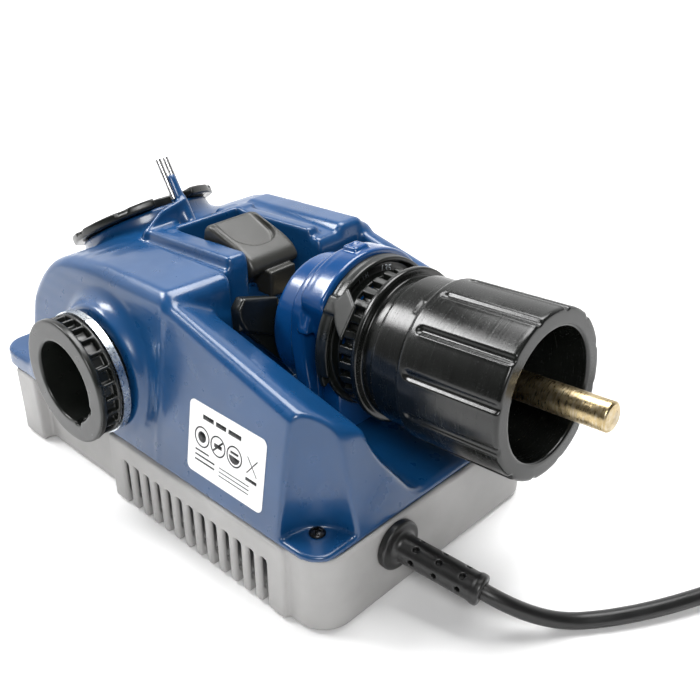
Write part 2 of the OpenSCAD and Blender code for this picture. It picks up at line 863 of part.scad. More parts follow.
// Plastic cradle on the base's floor, with an upright plate that the motor's face screws to.
module motor_cradle() {
    saddle_x0 = motor_x + 12;
    color("whitesmoke") corner_frame() difference() {
        union() {
            translate([motor_x - 3, wheel_y - 22, floor_z + floor_t]) cube([2.9, 44, 58]);
            translate([motor_x - 3, wheel_y - 22, floor_z + floor_t]) cube([50, 44, 3]);
            for (x = [saddle_x0, saddle_x0 + 22]) translate([x, wheel_y - 22, floor_z + floor_t]) {
                cube([4, 44, 22]);
            }
        }
        translate([motor_x, wheel_y, wheel_z]) rotate([0, 90, 0]) {
            translate([0, 0, -4]) cylinder(r = 9, h = 6);
            translate([0, 0, -eps]) cylinder(r = motor_r + fit_gap, h = 80);
            for (a = [45, 225]) rotate([0, 0, a]) translate([16, 0, -4]) cylinder(r = 1.6, h = 8);
        }
    }
}

module motor_shaft() {
    color("silver") shaft_frame() difference() {
        translate([0, 0, 3]) cylinder(r = shaft_r, h = motor_x - wheel_x + motor_l + 1.8);
        translate([0, 0, 2]) cylinder(r = 1.55, h = 12);
    }
}

module rotor_core() {
    slots = 12;
    color("peru") shaft_frame() translate([0, 0, motor_x - wheel_x + 10]) difference() {
        union() {
            cylinder(r = motor_r - 8, h = 20);
            translate([0, 0, 19]) cylinder(r = 8, h = 7);
        }
        translate([0, 0, -1]) cylinder(r = shaft_r + fit_gap / 2, h = 40);
        for (i = [0 : slots - 1]) rotate([0, 0, i * 360 / slots]) {
            translate([12, -0.8, -1]) cube([10, 1.6, 22]);
        }
    }
}

module cooling_fan() {
    blades = 9;
    color("ivory") shaft_frame() translate([0, 0, wheel_w + 0.3]) {
        ring(7, shaft_r + fit_gap / 2, 2.4);
        ring(22, 6.5, 1);
        for (i = [0 : blades - 1]) rotate([0, 0, i * 360 / blades]) {
            translate([6, -0.6, 0]) cube([15.8, 1.2, 2.3]);
        }
    }
}

module diamond_wheel() {
    color("darkgray") shaft_frame() difference() {
        union() {
            cylinder(r = wheel_r, h = wheel_w - 2);
            translate([0, 0, wheel_w - 3]) cylinder(r = 8, h = 3);
        }
        translate([0, 0, -1]) cylinder(r = wheel_r - 5, h = 3);
        translate([0, 0, 6]) ring(wheel_r - 4, 9, wheel_w);
        translate([0, 0, -1]) cylinder(r = shaft_r + fit_gap / 2, h = 60);
    }
}

module wheel_screw() {
    color("black") shaft_frame() translate([0, 0, 2]) rotate([180, 0, 0]) screw(6, 1.8, 1.5, 10);
}

/* ---- electrics ---- */

module rectifier_board() {
    board = [34, 26, 1.6];
    color("darkgreen") corner_frame() translate([60, 88, floor_z + floor_t + 4]) {
        cube(board);
        for (x = [4, 30], y = [4, 22]) translate([x, y, -4]) cylinder(r = 2, h = 4 + eps);
        translate([6, 6, 1.5]) cube([8, 8, 6]);
        translate([24, 13, 1.5]) cylinder(r = 5, h = 14);
    }
}

// Local +z runs out of the right wall and local +x runs down it.
module switch_frame() {
    x = body_w - (switch_at[1] - seam_z) * tan(right_draft);
    corner_frame() translate([x, switch_at[0], switch_at[1]]) rotate([0, 90 - right_draft, 0]) children();
}

module switch_block(grow) {
    translate([-switch_l / 2 - grow, -switch_w / 2 - grow, -switch_depth]) {
        cube([switch_l + 2 * grow, switch_w + 2 * grow, switch_depth + 2]);
    }
}

module switch_housing() {
    color("black") switch_frame() difference() {
        union() {
            switch_block(0);
            translate([-switch_l / 2 - 1.5, -switch_w / 2 - 1.5, 0.05]) {
                cube([switch_l + 3, switch_w + 3, 1.95]);
            }
        }
        translate([-switch_l / 2 + 1.5, -switch_w / 2 + 1.5, -6]) cube([switch_l - 3, switch_w - 3, 9]);
        rotate([90, 0, 0]) translate([0, 0, -switch_w / 2 - fit_gap]) {
            cylinder(r = pivot_r + run_gap, h = switch_w + 2 * fit_gap);
        }
    }
}

module switch_rocker() {
    half = switch_l / 2 - 2;
    key_w = switch_w - 3.4;
    pivot_l = switch_w - 1;
    color("darkred") switch_frame() rotate([90, 0, 0]) {
        translate([0, 0, -key_w / 2]) linear_extrude(key_w) {
            polygon([[-half, -1], [-half, 4.6], [0, 2.4], [half, 2.6], [half, -1], [2, -2.6], [-2, -2.6]]);
        }
        translate([0, 0, -pivot_l / 2]) cylinder(r = pivot_r, h = pivot_l);
    }
}

module wheel_access_door() {
    color("gainsboro") corner_frame() difference() {
        union() {
            translate([door_x0 + 0.4, body_l - wall + 0.2, door_z0 + 0.4]) {
                cube([door_x1 - door_x0 - 0.8, wall - 0.2, door_z1 - door_z0 - 3.6]);
            }
            door_axis() translate([0, 0, 0.4]) cylinder(r = 1.6, h = door_x1 - door_x0 - 0.8);
            translate([(door_x0 + door_x1) / 2 - 8, body_l - 0.5, door_z0 + 2]) cube([16, handle_y + 0.5, 3]);
        }
        door_axis() translate([0, 0, -1]) cylinder(r = door_pin_r + run_gap, h = body_w);
    }
}

module door_pin() {
    color("silver") corner_frame() door_axis() translate([0, 0, -door_pin_end]) {
        cylinder(r = door_pin_r, h = door_pin_l);
    }
}

/* ---- cord ---- */

module relief_frame() {
    corner_frame() translate(relief_root) rotate([90 + relief_droop, 0, relief_yaw]) children();
}

module strain_relief() {
    color("black") difference() {
        union() {
            relief_frame() translate([0, 0, 2]) cylinder(r = relief_r, h = relief_l - 2);
            corner_frame() translate(relief_root) rotate([90, 0, 0]) {
                cylinder(r = 11.5, h = 4);
                translate([0, 0, -wall - 2]) cylinder(r = relief_r, h = wall + 3);
            }
        }
        relief_frame() {
            translate([0, 0, 4]) cylinder(r = cord_r + run_gap, h = relief_l);
            for (z = [11, 22, 33], a = [0, 60, 120]) translate([0, 0, z]) rotate([90, 0, a]) {
                translate([0, 0, -10]) cylinder(r = 1, h = 20);
            }
        }
    }
}

function bezier(p, t) = let(s = 1 - t) s*s*s * p[0] + 3*s*s*t * p[1] + 3*s*t*t * p[2] + t*t*t * p[3];

cord_path = concat([relief_root + relief_dir * 4.5],
                   [for (i = [0 : cord_steps]) bezier(cord_drop, i / cord_steps)],
                   [for (i = [1 : cord_steps]) bezier(cord_run, i / cord_steps)]);

module power_cord() {
    color("black") corner_frame() sweep(cord_path, cord_r, 20);
}

// A round tube along a path that never runs straight up.
module sweep(path, r, sides) {
    n = len(path);
    rings = [for (i = [0 : n - 1]) let(
        d = path[min(i + 1, n - 1)] - path[max(i - 1, 0)],
        t = d / norm(d),
        side = cross([0, 0, 1], t) / norm(cross([0, 0, 1], t)),
        up = cross(t, side))
        for (k = [0 : sides - 1]) path[i] + r * (cos(k * 360 / sides) * side + sin(k * 360 / sides) * up)];
    caps = [[for (k = [0 : sides - 1]) k], [for (k = [sides - 1 : -1 : 0]) (n - 1) * sides + k]];
    skin = [for (i = [0 : n - 2], k = [0 : sides - 1]) let(j = (k + 1) % sides)
        each [[i * sides + k, (i + 1) * sides + k, (i + 1) * sides + j],
              [i * sides + k, (i + 1) * sides + j, i * sides + j]]];
    polyhedron(points = rings, faces = concat(caps, skin), convexity = 4);
}

// Local +z runs out of the plug's face, to the right.
module plug_frame() {
    corner_frame() translate(plug_at) rotate([0, 90, 0]) children();
}

module mains_plug() {
    grip_z = 8;
    half_t = 8;
    color("black") plug_frame() difference() {
        union() {
            translate([0, 0, -6]) cylinder(r1 = 5, r2 = half_t - 0.4, h = grip_z + 6);
            translate([0, 0, grip_z - eps]) intersection() {
                cylinder(r = plug_r, h = plug_l - grip_z + eps);
                translate([-half_t, -plug_r, -1]) cube([2 * half_t, 2 * plug_r, plug_l]);
            }
        }
        translate([0, 0, -7]) cylinder(r = cord_r + 0.6, h = 7.1);
        pin_places() translate([-3.2, -0.8, -4]) cube([6.4, 1.6, 10]);
    }
}

module pin_places() {
    for (y = [-6.35, 6.35]) translate([0, y, plug_l]) children();
}

module plug_pins() {
    color("goldenrod") plug_frame() pin_places() translate([-3.1, -0.7, -3.9]) cube([6.2, 1.4, pin_l + 3.9]);
}

base_tray();
rubber_feet();
upper_housing();
housing_screws();
rating_label();
split_port_tube();
split_port_collar();
sharpen_port_tube();
sharpen_port_nut();
follower_pins();
align_port_body();
align_port_screws();
claw_bracket();
claw_bracket_screws();
angle_scale_ring();
align_lever();
lever_pin();
lever_spring();
left_claw();
right_claw();
chuck_body();
chuck_collar();
chuck_knob();
knob_clip();
drill_bit();
chuck_jaw(1);  // chuck_jaw_1
chuck_jaw(2);  // chuck_jaw_2
chuck_jaw(3);  // chuck_jaw_3
chuck_jaw(4);  // chuck_jaw_4
chuck_jaw(5);  // chuck_jaw_5
chuck_jaw(6);  // chuck_jaw_6
motor_can();
motor_end_cap();
motor_magnets();
motor_bushes();
motor_screws();
motor_cradle();
motor_shaft();
rotor_core();
cooling_fan();
diamond_wheel();
wheel_screw();
rectifier_board();
switch_housing();
switch_rocker();
wheel_access_door();
door_pin();
strain_relief();
power_cord();
mains_plug();
plug_pins();
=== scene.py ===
import json
import math

import bmesh
import bpy
import numpy as np
from mathutils import Matrix, Vector


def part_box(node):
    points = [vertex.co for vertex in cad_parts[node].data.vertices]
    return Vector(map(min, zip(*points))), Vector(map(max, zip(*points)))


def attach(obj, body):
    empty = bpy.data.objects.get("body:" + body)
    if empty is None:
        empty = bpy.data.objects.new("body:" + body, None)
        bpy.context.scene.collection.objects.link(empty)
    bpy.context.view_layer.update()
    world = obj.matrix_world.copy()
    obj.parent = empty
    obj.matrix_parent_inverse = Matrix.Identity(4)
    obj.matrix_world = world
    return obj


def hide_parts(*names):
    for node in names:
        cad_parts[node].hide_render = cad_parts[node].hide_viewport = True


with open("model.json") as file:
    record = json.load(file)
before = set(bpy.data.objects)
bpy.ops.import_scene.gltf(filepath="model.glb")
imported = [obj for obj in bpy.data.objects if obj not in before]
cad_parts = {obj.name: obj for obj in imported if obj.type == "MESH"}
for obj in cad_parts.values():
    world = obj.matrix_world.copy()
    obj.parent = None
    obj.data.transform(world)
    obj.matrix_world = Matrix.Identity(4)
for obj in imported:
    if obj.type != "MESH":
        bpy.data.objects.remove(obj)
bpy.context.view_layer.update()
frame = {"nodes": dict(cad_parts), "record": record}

# Sizes shared with the frame, in millimetres. In the corner frame, x runs right from the body's left
# face, y runs back from its front face and z runs up from the resting plane.
SEAM_Z = 39.5
BODY_W = 150
BODY_L = 248
BODY_R = 15
TOP_Z = 120
DECK_Z = 49
WALL = 3
TRAY_FLOOR = 4
LEFT_LEAN = 9
RIGHT_LEAN = 7.3
LEFT_DRAFT = math.radians(LEFT_LEAN)
RIGHT_DRAFT = math.radians(RIGHT_LEAN)
POCKET_Z = 42.5
SCREW_SEATS = ((14.5, 15.5, POCKET_Z), (135.5, 15.5, POCKET_Z), (15, 234, DECK_Z), (135, 234, DECK_Z))
FEET = ((24, 34), (126, 34), (26, 214), (124, 214))
CHUCK_X = 88
SPLIT_Y = 147
SPLIT_Z = 73.3
SPLIT_REACH = 17
PORT_BORE = 19.85
BARREL_R = 23
BARREL_HOLE_R = 23.2
NOSE_R = 19.8
KNOB_R = 36
KNOB_Z = 44
KNOB_L = 50
RIM_Z = KNOB_Z + KNOB_L
KEY_ANGLE = 225
BIT_R = 6.3
BIT_TIP = -48
BIT_TAIL = RIM_Z + 27
CORD_R = 3.6
CORD_YAW = 12
CORD_DROOP = 10
RELIEF_X = 45
RELIEF_Z = 28
PLUG_PLACE = Vector((235, -131, 8.1))
FAR_INSIDE = -50.0
COARSE = 1


# ---- frames

def turn(axis, degrees):
    return Matrix.Rotation(math.radians(degrees), 4, axis)


def at(x, y, z):
    return Matrix.Translation((x, y, z))


def corner_frame():
    """Corner frame in millimetres to the row frame in metres, placed by two faces of the CAD model."""
    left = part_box("split_port_tube")[0][0] + SPLIT_REACH * 0.001
    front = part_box("upper_housing")[1][1] - BODY_L * 0.001
    return at(left, front, 0) @ Matrix.Scale(0.001, 4)


CORNER = corner_frame()

# Frames of the leaning parts, inside the corner frame.
ALIGN = at(CHUCK_X, 52.6, 92.9) @ turn("X", 86)
SPLIT = at(0, SPLIT_Y, SPLIT_Z) @ turn("Y", -90)
SHARPEN = at(78, 213, 112) @ turn("X", -31)
POST = at(76, 169, 118) @ turn("X", -31)
RELIEF = at(RELIEF_X, 0, RELIEF_Z) @ turn("Z", CORD_YAW) @ turn("X", 90 + CORD_DROOP)
PLUG = at(*PLUG_PLACE) @ turn("Y", 90)
SWITCH = at(BODY_W - (58 - SEAM_Z) * math.tan(RIGHT_DRAFT), 60, 58) @ turn("Y", 90 - RIGHT_LEAN)
LABEL = (at((DECK_Z - SEAM_Z) * math.tan(LEFT_DRAFT), 83, DECK_Z) @ turn("Y", LEFT_LEAN)
         @ turn("Z", -90) @ turn("X", 90))


def moved(matrix, x, y, z):
    """Points given in a frame, as x, y and z outside it."""
    m = np.array(matrix)
    return [row[0] * x + row[1] * y + row[2] * z + row[3] for row in m[:3]]


def moved_back(matrix, x, y, z):
    """Points given outside a frame, as that frame's own x, y and z."""
    return moved(matrix.inverted(), x, y, z)


def turned(x, y, degrees):
    """Points as seen from axes turned by an angle."""
    c, s = math.cos(math.radians(degrees)), math.sin(math.radians(degrees))
    return x * c + y * s, y * c - x * s


# ---- distance fields
# A field is negative inside. Lengths are millimetres; x, y and z are arrays that broadcast together.

def both(a, b, r=0.0):
    """Where a and b overlap, with the outer edge rounded to radius r."""
    if r == 0.0:
        return np.maximum(a, b)
    edge = np.hypot(np.maximum(a + r, 0), np.maximum(b + r, 0))
    return np.minimum(-r, np.maximum(a, b)) + edge


def join(a, b, r=0.0):
    """a and b together, with the inner corner filled to radius r."""
    return -both(-a, -b, r)


def cut(a, b, r=0.0):
    """a without b, with the new edge rounded to radius r."""
    return both(a, -b, r)


def block(x, y, z, low, high, r=0.0):
    """Box between two corners, with its edges rounded to radius r."""
    sides = []
    for value, a, b in zip((x, y, z), low, high):
        sides.append(np.abs(value - (a + b) / 2) - (b - a) / 2 + r)
    outside = np.sqrt(sum(np.maximum(s, 0) ** 2 for s in sides))
    inside = np.minimum(np.maximum(np.maximum(sides[0], sides[1]), sides[2]), 0)
    return outside + inside - r


def drum(x, y, z, radius, z0, z1, r=0.0):
    """Upright cylinder with rounded rims."""
    return both(np.hypot(x, y) - radius, np.abs(z - (z0 + z1) / 2) - (z1 - z0) / 2, r)


def tube(x, y, z, outer, inner, z0, z1, r=0.0):
    """Upright ring with rounded rims."""
    return cut(drum(x, y, z, outer, z0, z1, r), np.hypot(x, y) - inner, r)


def capsule(x, y, z, a, b, ra, rb):
    """Round-ended rod from a to b, its radius going from ra to rb."""
    d = np.array(b, float) - np.array(a, float)
    t = ((x - a[0]) * d[0] + (y - a[1]) * d[1] + (z - a[2]) * d[2]) / (d @ d)
    t = np.clip(t, 0, 1)
    away = (x - a[0] - t * d[0]) ** 2 + (y - a[1] - t * d[1]) ** 2 + (z - a[2] - t * d[2]) ** 2
    return np.sqrt(away) - (ra + t * (rb - ra))


def side_of(u, v, p, q):
    """Half-plane left of the line from p to q, as seen with u to the right and v up."""
    du, dv = q[0] - p[0], q[1] - p[1]
    return ((u - p[0]) * dv - (v - p[1]) * du) / math.hypot(du, dv)


def convex(u, v, points, r=0.0):
    """Convex outline, its points running anticlockwise, with corners of radius r."""
    field = None
    for p, q in zip(points, points[1:] + points[:1]):
        side = side_of(u, v, p, q)
        field = side if field is None else both(field, side, r)
    return field


def spun(x, y, count, start=0.0):
    """x and y turned into the nearest of count equal sectors, the first one centred on angle start."""
    sector = 2 * math.pi / count
    angle = np.arctan2(y, x) - math.radians(start)
    angle = angle - sector * np.round(angle / sector)
    radius = np.hypot(x, y)
    return radius * np.cos(angle), radius * np.sin(angle)


# ---- meshes from fields

CELL_CORNERS = [(i, j, k) for i in (0, 1) for j in (0, 1) for k in (0, 1)]
CELL_EDGES = [(a, b) for a in CELL_CORNERS for b in CELL_CORNERS
              if a < b and sum(p != q for p, q in zip(a, b)) == 1]


def blurred(values, sigma):
    """Smoothing that rounds every edge of a field and leaves its flats alone."""
    reach = max(1, int(math.ceil(2.5 * sigma)))
    weights = np.exp(-0.5 * (np.arange(-reach, reach + 1) / sigma) ** 2)
    weights = (weights / weights.sum()).astype(np.float32)
    for axis in range(3):
        pad = [(reach, reach) if i == axis else (0, 0) for i in range(3)]
        padded = np.pad(values, pad, mode="edge")
        n = values.shape[axis]
        total = np.zeros_like(values)
        for i, w in enumerate(weights):
            total += w * np.take(padded, range(i, i + n), axis=axis)
        values = total
    return values


def net_points(values, cells):
    """One point in each surface cell: the mean of where the surface crosses its edges."""
    total = np.zeros((len(cells), 3))
    count = np.zeros(len(cells))
    for a, b in CELL_EDGES:
        fa = values[tuple((cells + a).T)]
        fb = values[tuple((cells + b).T)]
        crossed = (fa < 0) != (fb < 0)
        t = np.where(crossed, fa / np.where(crossed, fa - fb, 1), 0)
        point = np.array(a) + t[:, None] * (np.array(b) - np.array(a))
        total += point * crossed[:, None]
        count += crossed
    return cells + total / count[:, None]


def net_faces(inside, number):
    """One quad round each grid edge that crosses the surface, facing out."""
    quads = []
    for d in range(3):
        u, v = (d + 1) % 3, (d + 2) % 3
        low = [slice(None)] * 3
        high = [slice(None)] * 3
        low[d], high[d] = slice(None, -1), slice(1, None)
        change = inside[tuple(low)] != inside[tuple(high)]
        edges = np.argwhere(change)
        edges = edges[(edges[:, u] > 0) & (edges[:, v] > 0)]
        eu, ev = np.eye(3, dtype=int)[u], np.eye(3, dtype=int)[v]
        ring = [edges - eu - ev, edges - ev, edges, edges - eu]
        quad = np.stack([number[tuple(c.T)] for c in ring], axis=1)
        outward = inside[tuple(edges.T)]
        quad[~outward] = quad[~outward][:, ::-1]
        quads.append(quad)
    return np.concatenate(quads)


def sampled(values, points):
    """Values between grid points, at fractional grid positions."""
    top = np.array(values.shape) - 2
    base = np.clip(np.floor(points).astype(int), 0, top)
    t = points - base
    total = 0
    for corner in CELL_CORNERS:
        weight = np.ones(len(points))
        for i in range(3):
            weight = weight * (t[:, i] if corner[i] else 1 - t[:, i])
        total = total + weight * values[tuple((base + corner).T)]
    return total


def field_mesh(name, field, low, high, step, soften, matrix):
    """Meshes a field's surface, as an object in the row frame with smooth normals."""
    step = step * COARSE
    axes = [np.arange(a - 3 * step, b + 4 * step, step) for a, b in zip(low, high)]
    x, y, z = axes[0][:, None, None], axes[1][None, :, None], axes[2][None, None, :]
    shape = tuple(len(a) for a in axes)
    values = np.broadcast_to(field(x, y, z), shape).astype(np.float32)
    values = blurred(values, soften / step)
    inside = values < 0
    total = np.zeros([n - 1 for n in shape], np.uint8)
    for i, j, k in CELL_CORNERS:
        total += inside[i:i + shape[0] - 1, j:j + shape[1] - 1, k:k + shape[2] - 1]
    cells = np.argwhere((total > 0) & (total < 8))
    number = np.zeros(total.shape, int)
    number[tuple(cells.T)] = np.arange(len(cells))
    points = net_points(values, cells)
    slopes = [s / step for s in np.gradient(values)]
    for _ in range(3):
        normal = np.stack([sampled(s, points) for s in slopes], axis=1)
        square = np.maximum((normal ** 2).sum(axis=1), 0.05)
        shift = sampled(values, points)[:, None] * normal / square[:, None] / step
        points = points - np.clip(shift, -0.4, 0.4)
    normal = np.stack([sampled(s, points) for s in slopes], axis=1)
    start = np.array([a[0] for a in axes])
    return mesh_object(name, points * step + start, net_faces(inside, number), normal, matrix)


def mesh_object(name, points, faces, normals, matrix):
    m = np.array(matrix)
    points = points @ m[:3, :3].T + m[:3, 3]
    normals = normals @ m[:3, :3].T
    normals = normals / np.maximum(np.linalg.norm(normals, axis=1), 1e-12)[:, None]
    mesh = bpy.data.meshes.new(name)
    mesh.vertices.add(len(points))
    mesh.vertices.foreach_set("co", points.astype(np.float32).ravel())
    mesh.loops.add(faces.size)
    mesh.loops.foreach_set("vertex_index", faces.astype(np.int32).ravel())
    mesh.polygons.add(len(faces))
    mesh.polygons.foreach_set("loop_start", np.arange(0, faces.size, 4, dtype=np.int32))
    mesh.polygons.foreach_set("loop_total", np.full(len(faces), 4, dtype=np.int32))
    mesh.update(calc_edges=True)
    mesh.polygons.foreach_set("use_smooth", np.ones(len(faces), dtype=bool))
    mesh.normals_split_custom_set_from_vertices(normals.tolist())
    return linked(name, mesh)


def linked(name, data):
    obj = bpy.data.objects.new(name, data)
    bpy.context.scene.collection.objects.link(obj)
    return obj


def bmesh_object(name, bm, matrix):
    bmesh.ops.transform(bm, matrix=matrix, verts=bm.verts)
    bmesh.ops.recalc_face_normals(bm, faces=bm.faces)
    mesh = bpy.data.meshes.new(name)
    bm.to_mesh(mesh)
    bm.free()
    mesh.shade_smooth()
    return linked(name, mesh)


def soften_edges(obj, width, degrees=32):
    """Bevelled edges of a given width in millimetres, with flats that stay flat."""
    bevel = obj.modifiers.new("edges", "BEVEL")
    bevel.width = width * 0.001
    bevel.segments = 2
    bevel.limit_method = "ANGLE"
    bevel.angle_limit = math.radians(degrees)
    bevel.harden_normals = True
    bevel.use_clamp_overlap = True


# ---- materials

class Nodes:
    """The node tree of a material or a world, with short calls for the nodes used here."""

    def __init__(self, owner):
        owner.use_nodes = True
        self.tree = owner.node_tree

    def add(self, kind, **settings):
        node = self.tree.nodes.new(kind)
        for key, value in settings.items():
            setattr(node, key, value)
        return node

    def feed(self, target, value):
        """Gives an input a socket's output or a plain value."""
        if isinstance(value, bpy.types.NodeSocket):
            self.tree.links.new(value, target)
        else:
            target.default_value = value

    def coords(self, kind="Object"):
        """Texture coordinates."""
        return self.add("ShaderNodeTexCoord").outputs[kind]

    def mapped(self, vector, **values):
        """A vector stretched, then turned, then moved."""
        node = self.add("ShaderNodeMapping")
        self.feed(node.inputs["Vector"], vector)
        for key, value in values.items():
            node.inputs[key].default_value = value
        return node.outputs["Vector"]

    def place(self, scale=(1, 1, 1)):
        """Object coordinates in millimetres, stretched by scale."""
        return self.mapped(self.coords(), Scale=[1000 * s for s in scale])

    def noise(self, size, detail=3.0, stretch=(1, 1, 1), vector=None):
        """Noise from 0 to 1, its features about size across: millimetres, or units of the vector given."""
        node = self.add("ShaderNodeTexNoise")
        node.inputs["Scale"].default_value = 1 / size
        node.inputs["Detail"].default_value = detail
        self.feed(node.inputs["Vector"], self.place(stretch) if vector is None else vector)
        return node.outputs["Fac"]

    def math(self, operation, a, b):
        """One value from two, each a number or a socket."""
        node = self.add("ShaderNodeMath", operation=operation)
        self.feed(node.inputs[0], a)
        self.feed(node.inputs[1], b)
        return node.outputs[0]

    def spread(self, value, low=0.0, high=1.0, start=0.3, end=0.7, **settings):
        """value from start to end, turned into low to high."""
        node = self.add("ShaderNodeMapRange", **settings)
        self.feed(node.inputs["Value"], value)
        for key, number in (("From Min", start), ("From Max", end), ("To Min", low), ("To Max", high)):
            node.inputs[key].default_value = number
        return node.outputs["Result"]

    def mixed(self, factor, a, b):
        """Colour between a and b, each a colour or a socket."""
        node = self.add("ShaderNodeMix", data_type="RGBA")
        for socket, value in (("A", a), ("B", b)):
            target = [s for s in node.inputs if s.name == socket and s.type == "RGBA"][0]
            self.feed(target, (*value, 1) if isinstance(value, tuple) else value)
        self.feed(node.inputs[0], factor)
        return [s for s in node.outputs if s.type == "RGBA"][0]

    def edges(self):
        """Where the surface is a worn, outward edge, from 0 to 1."""
        geometry = self.add("ShaderNodeNewGeometry")
        return self.spread(geometry.outputs["Pointiness"], start=0.53, end=0.6)


class Finish(Nodes):
    """A new material, with short calls for its surface's inputs."""

    def __init__(self, name):
        self.material = bpy.data.materials.new(name)
        super().__init__(self.material)
        self.surface = self.tree.nodes["Principled BSDF"]

    def bump(self, height, strength, depth):
        """Relief up to depth millimetres high."""
        node = self.add("ShaderNodeBump")
        node.inputs["Strength"].default_value = strength
        node.inputs["Distance"].default_value = depth * 0.001
        self.feed(node.inputs["Height"], height)
        self.set(Normal=node.outputs["Normal"])

    def set(self, **values):
        """The surface's inputs, with _ in place of each space: a socket or a plain value for each."""
        for key, value in values.items():
            self.feed(self.surface.inputs[key.replace("_", " ")], value)


def tint(color, amount):
    """A colour made lighter or darker."""
    return tuple(min(1.0, c * amount) for c in color)


def plastic(name, color, roughness, grain, relief, worn, coat=0.0):
    """Moulded plastic: a fine grain, slow changes of colour and gloss, and edges rubbed lighter."""
    n = Finish(name)
    body = n.mixed(n.spread(n.noise(38.0, 4.0)), tint(color, 0.9), tint(color, 1.12))
    rubbed = tuple(c + (0.5 - c) * worn for c in color)
    n.set(Base_Color=n.mixed(n.math("MULTIPLY", n.edges(), worn), body, rubbed))
    n.set(Roughness=n.spread(n.noise(9.0, 5.0), roughness * 0.86, roughness * 1.16))
    n.bump(n.noise(grain, 2.0), 0.35, relief)
    n.set(Coat_Weight=coat, Coat_Roughness=0.12)
    return n.material


def metal(name, color, roughness, size=0.5, relief=0.02, stretch=(1, 1, 1), stain=None):
    """Bare or plated metal: drawn or turned lines, slow stains, and scratches in the gloss."""
    n = Finish(name)
    cloud = n.spread(n.noise(7.0, 5.0), start=0.35, end=0.65)
    lines = n.noise(size, 3.0, stretch)
    n.set(Base_Color=n.mixed(cloud, stain or tint(color, 0.72), color), Metallic=1.0)
    n.set(Roughness=n.spread(lines, roughness * 0.7, roughness * 1.35))
    n.bump(lines, 0.4, relief)
    return n.material


def turned_black(name):
    """Black moulding with fine rings round the chuck's axis, polished by the hand that turns it."""
    n = Finish(name)
    color, roughness = (0.004, 0.0045, 0.004), 0.24
    away = (CORNER @ ALIGN).inverted()
    local = n.mapped(n.coords(), Location=away.translation, Rotation=away.to_euler("XYZ"),
                     Scale=away.to_scale())
    lines = n.noise(0.625, 5.0, vector=n.mapped(local, Scale=(0.03, 0.03, 1.0)))
    scuffs = n.spread(n.noise(0.9, 4.0), 0.0, 0.06, 0.55, 0.75)
    n.set(Base_Color=n.mixed(n.spread(n.noise(12.0, 5.0)), tint(color, 0.7), tint(color, 1.7)))
    n.set(Roughness=n.math("ADD", n.spread(lines, roughness * 0.75, roughness * 1.15), scuffs))
    n.bump(lines, 0.3, 0.02)
    n.set(Anisotropic=0.35)
    return n.material


def paper(name):
    """Printed film with a soft sheen and a faint fibre."""
    n = Finish(name)
    color = (0.86, 0.86, 0.86)
    n.set(Base_Color=n.mixed(n.spread(n.noise(14.0)), tint(color, 0.96), color))
    n.set(Roughness=n.spread(n.noise(2.0, 4.0), 0.32, 0.42))
    n.bump(n.noise(0.4, 2.0), 0.15, 0.01)
    return n.material


def copper_turns(name):
    """Enamelled windings and laminations: fine bands round the shaft."""
    n = Finish(name)
    bands = n.noise(0.5, 2.0, (1, 0.1, 0.1))
    n.set(Base_Color=n.mixed(n.spread(bands), (0.28, 0.09, 0.03), (0.62, 0.27, 0.12)), Metallic=0.85)
    n.set(Roughness=n.spread(n.noise(3.0), 0.3, 0.5))
    n.bump(bands, 0.6, 0.1)
    return n.material


def diamond_grit(name):
    """Nickel plating over fine grit: sharp sparkling grains."""
    n = Finish(name)
    grains = n.add("ShaderNodeTexVoronoi")
    grains.inputs["Scale"].default_value = 1 / 0.35
    n.feed(grains.inputs["Vector"], n.place())
    height = grains.outputs["Distance"]
    n.set(Base_Color=n.mixed(n.spread(n.noise(5.0)), (0.3, 0.3, 0.29), (0.55, 0.54, 0.5)), Metallic=1.0)
    n.set(Roughness=n.spread(height, 0.25, 0.6, 0.0, 1.0))
    n.bump(height, 0.9, 0.12)
    return n.material


def bronze_bit(name):
    """Bronze oxide rubbed bright where chucks have gripped it, with scratches round the shank."""
    n = Finish(name)
    cloud = n.spread(n.noise(5.0, 6.0), start=0.35, end=0.65)
    scratches = n.noise(0.8, 5.0, (0.25, 1.0, 0.25))
    gold = n.mixed(cloud, (0.38, 0.29, 0.15), (0.58, 0.46, 0.26))
    worn = n.spread(scratches, 0.0, 0.35, 0.5, 0.66)
    n.set(Base_Color=n.mixed(worn, gold, (0.78, 0.74, 0.64)), Metallic=1.0)
    n.set(Roughness=n.spread(scratches, 0.24, 0.36))
    n.bump(scratches, 0.25, 0.006)
    return n.material


# The values after the name in plastic() and metal(), and the finishes with a function of their own.
PLASTICS = {
    "base_grey": ((0.36, 0.355, 0.35), 0.5, 0.5, 0.12, 0.12),
    "housing_blue": ((0.003, 0.046, 0.14), 0.3, 0.6, 0.02, 0.03, 0.3),
    "port_blue": ((0.002, 0.045, 0.16), 0.2, 0.7, 0.02, 0.03, 0.4),
    "port_black": ((0.006, 0.007, 0.006), 0.3, 0.4, 0.04, 0.02),
    "lever_grey": ((0.022, 0.022, 0.019), 0.38, 0.35, 0.08, 0.03),
    "cord_black": ((0.008, 0.008, 0.008), 0.36, 0.5, 0.05, 0.02),
    "rubber_black": ((0.015, 0.015, 0.015), 0.7, 0.4, 0.1, 0.05),
    "inner_white": ((0.6, 0.59, 0.55), 0.45, 0.5, 0.08, 0.1),
    "magnet": ((0.06, 0.06, 0.062), 0.6, 0.3, 0.12, 0.1),
    "board_green": ((0.01, 0.12, 0.04), 0.3, 1.0, 0.04, 0.1),
    "rocker_red": ((0.3, 0.012, 0.012), 0.25, 0.6, 0.02, 0.1),
}
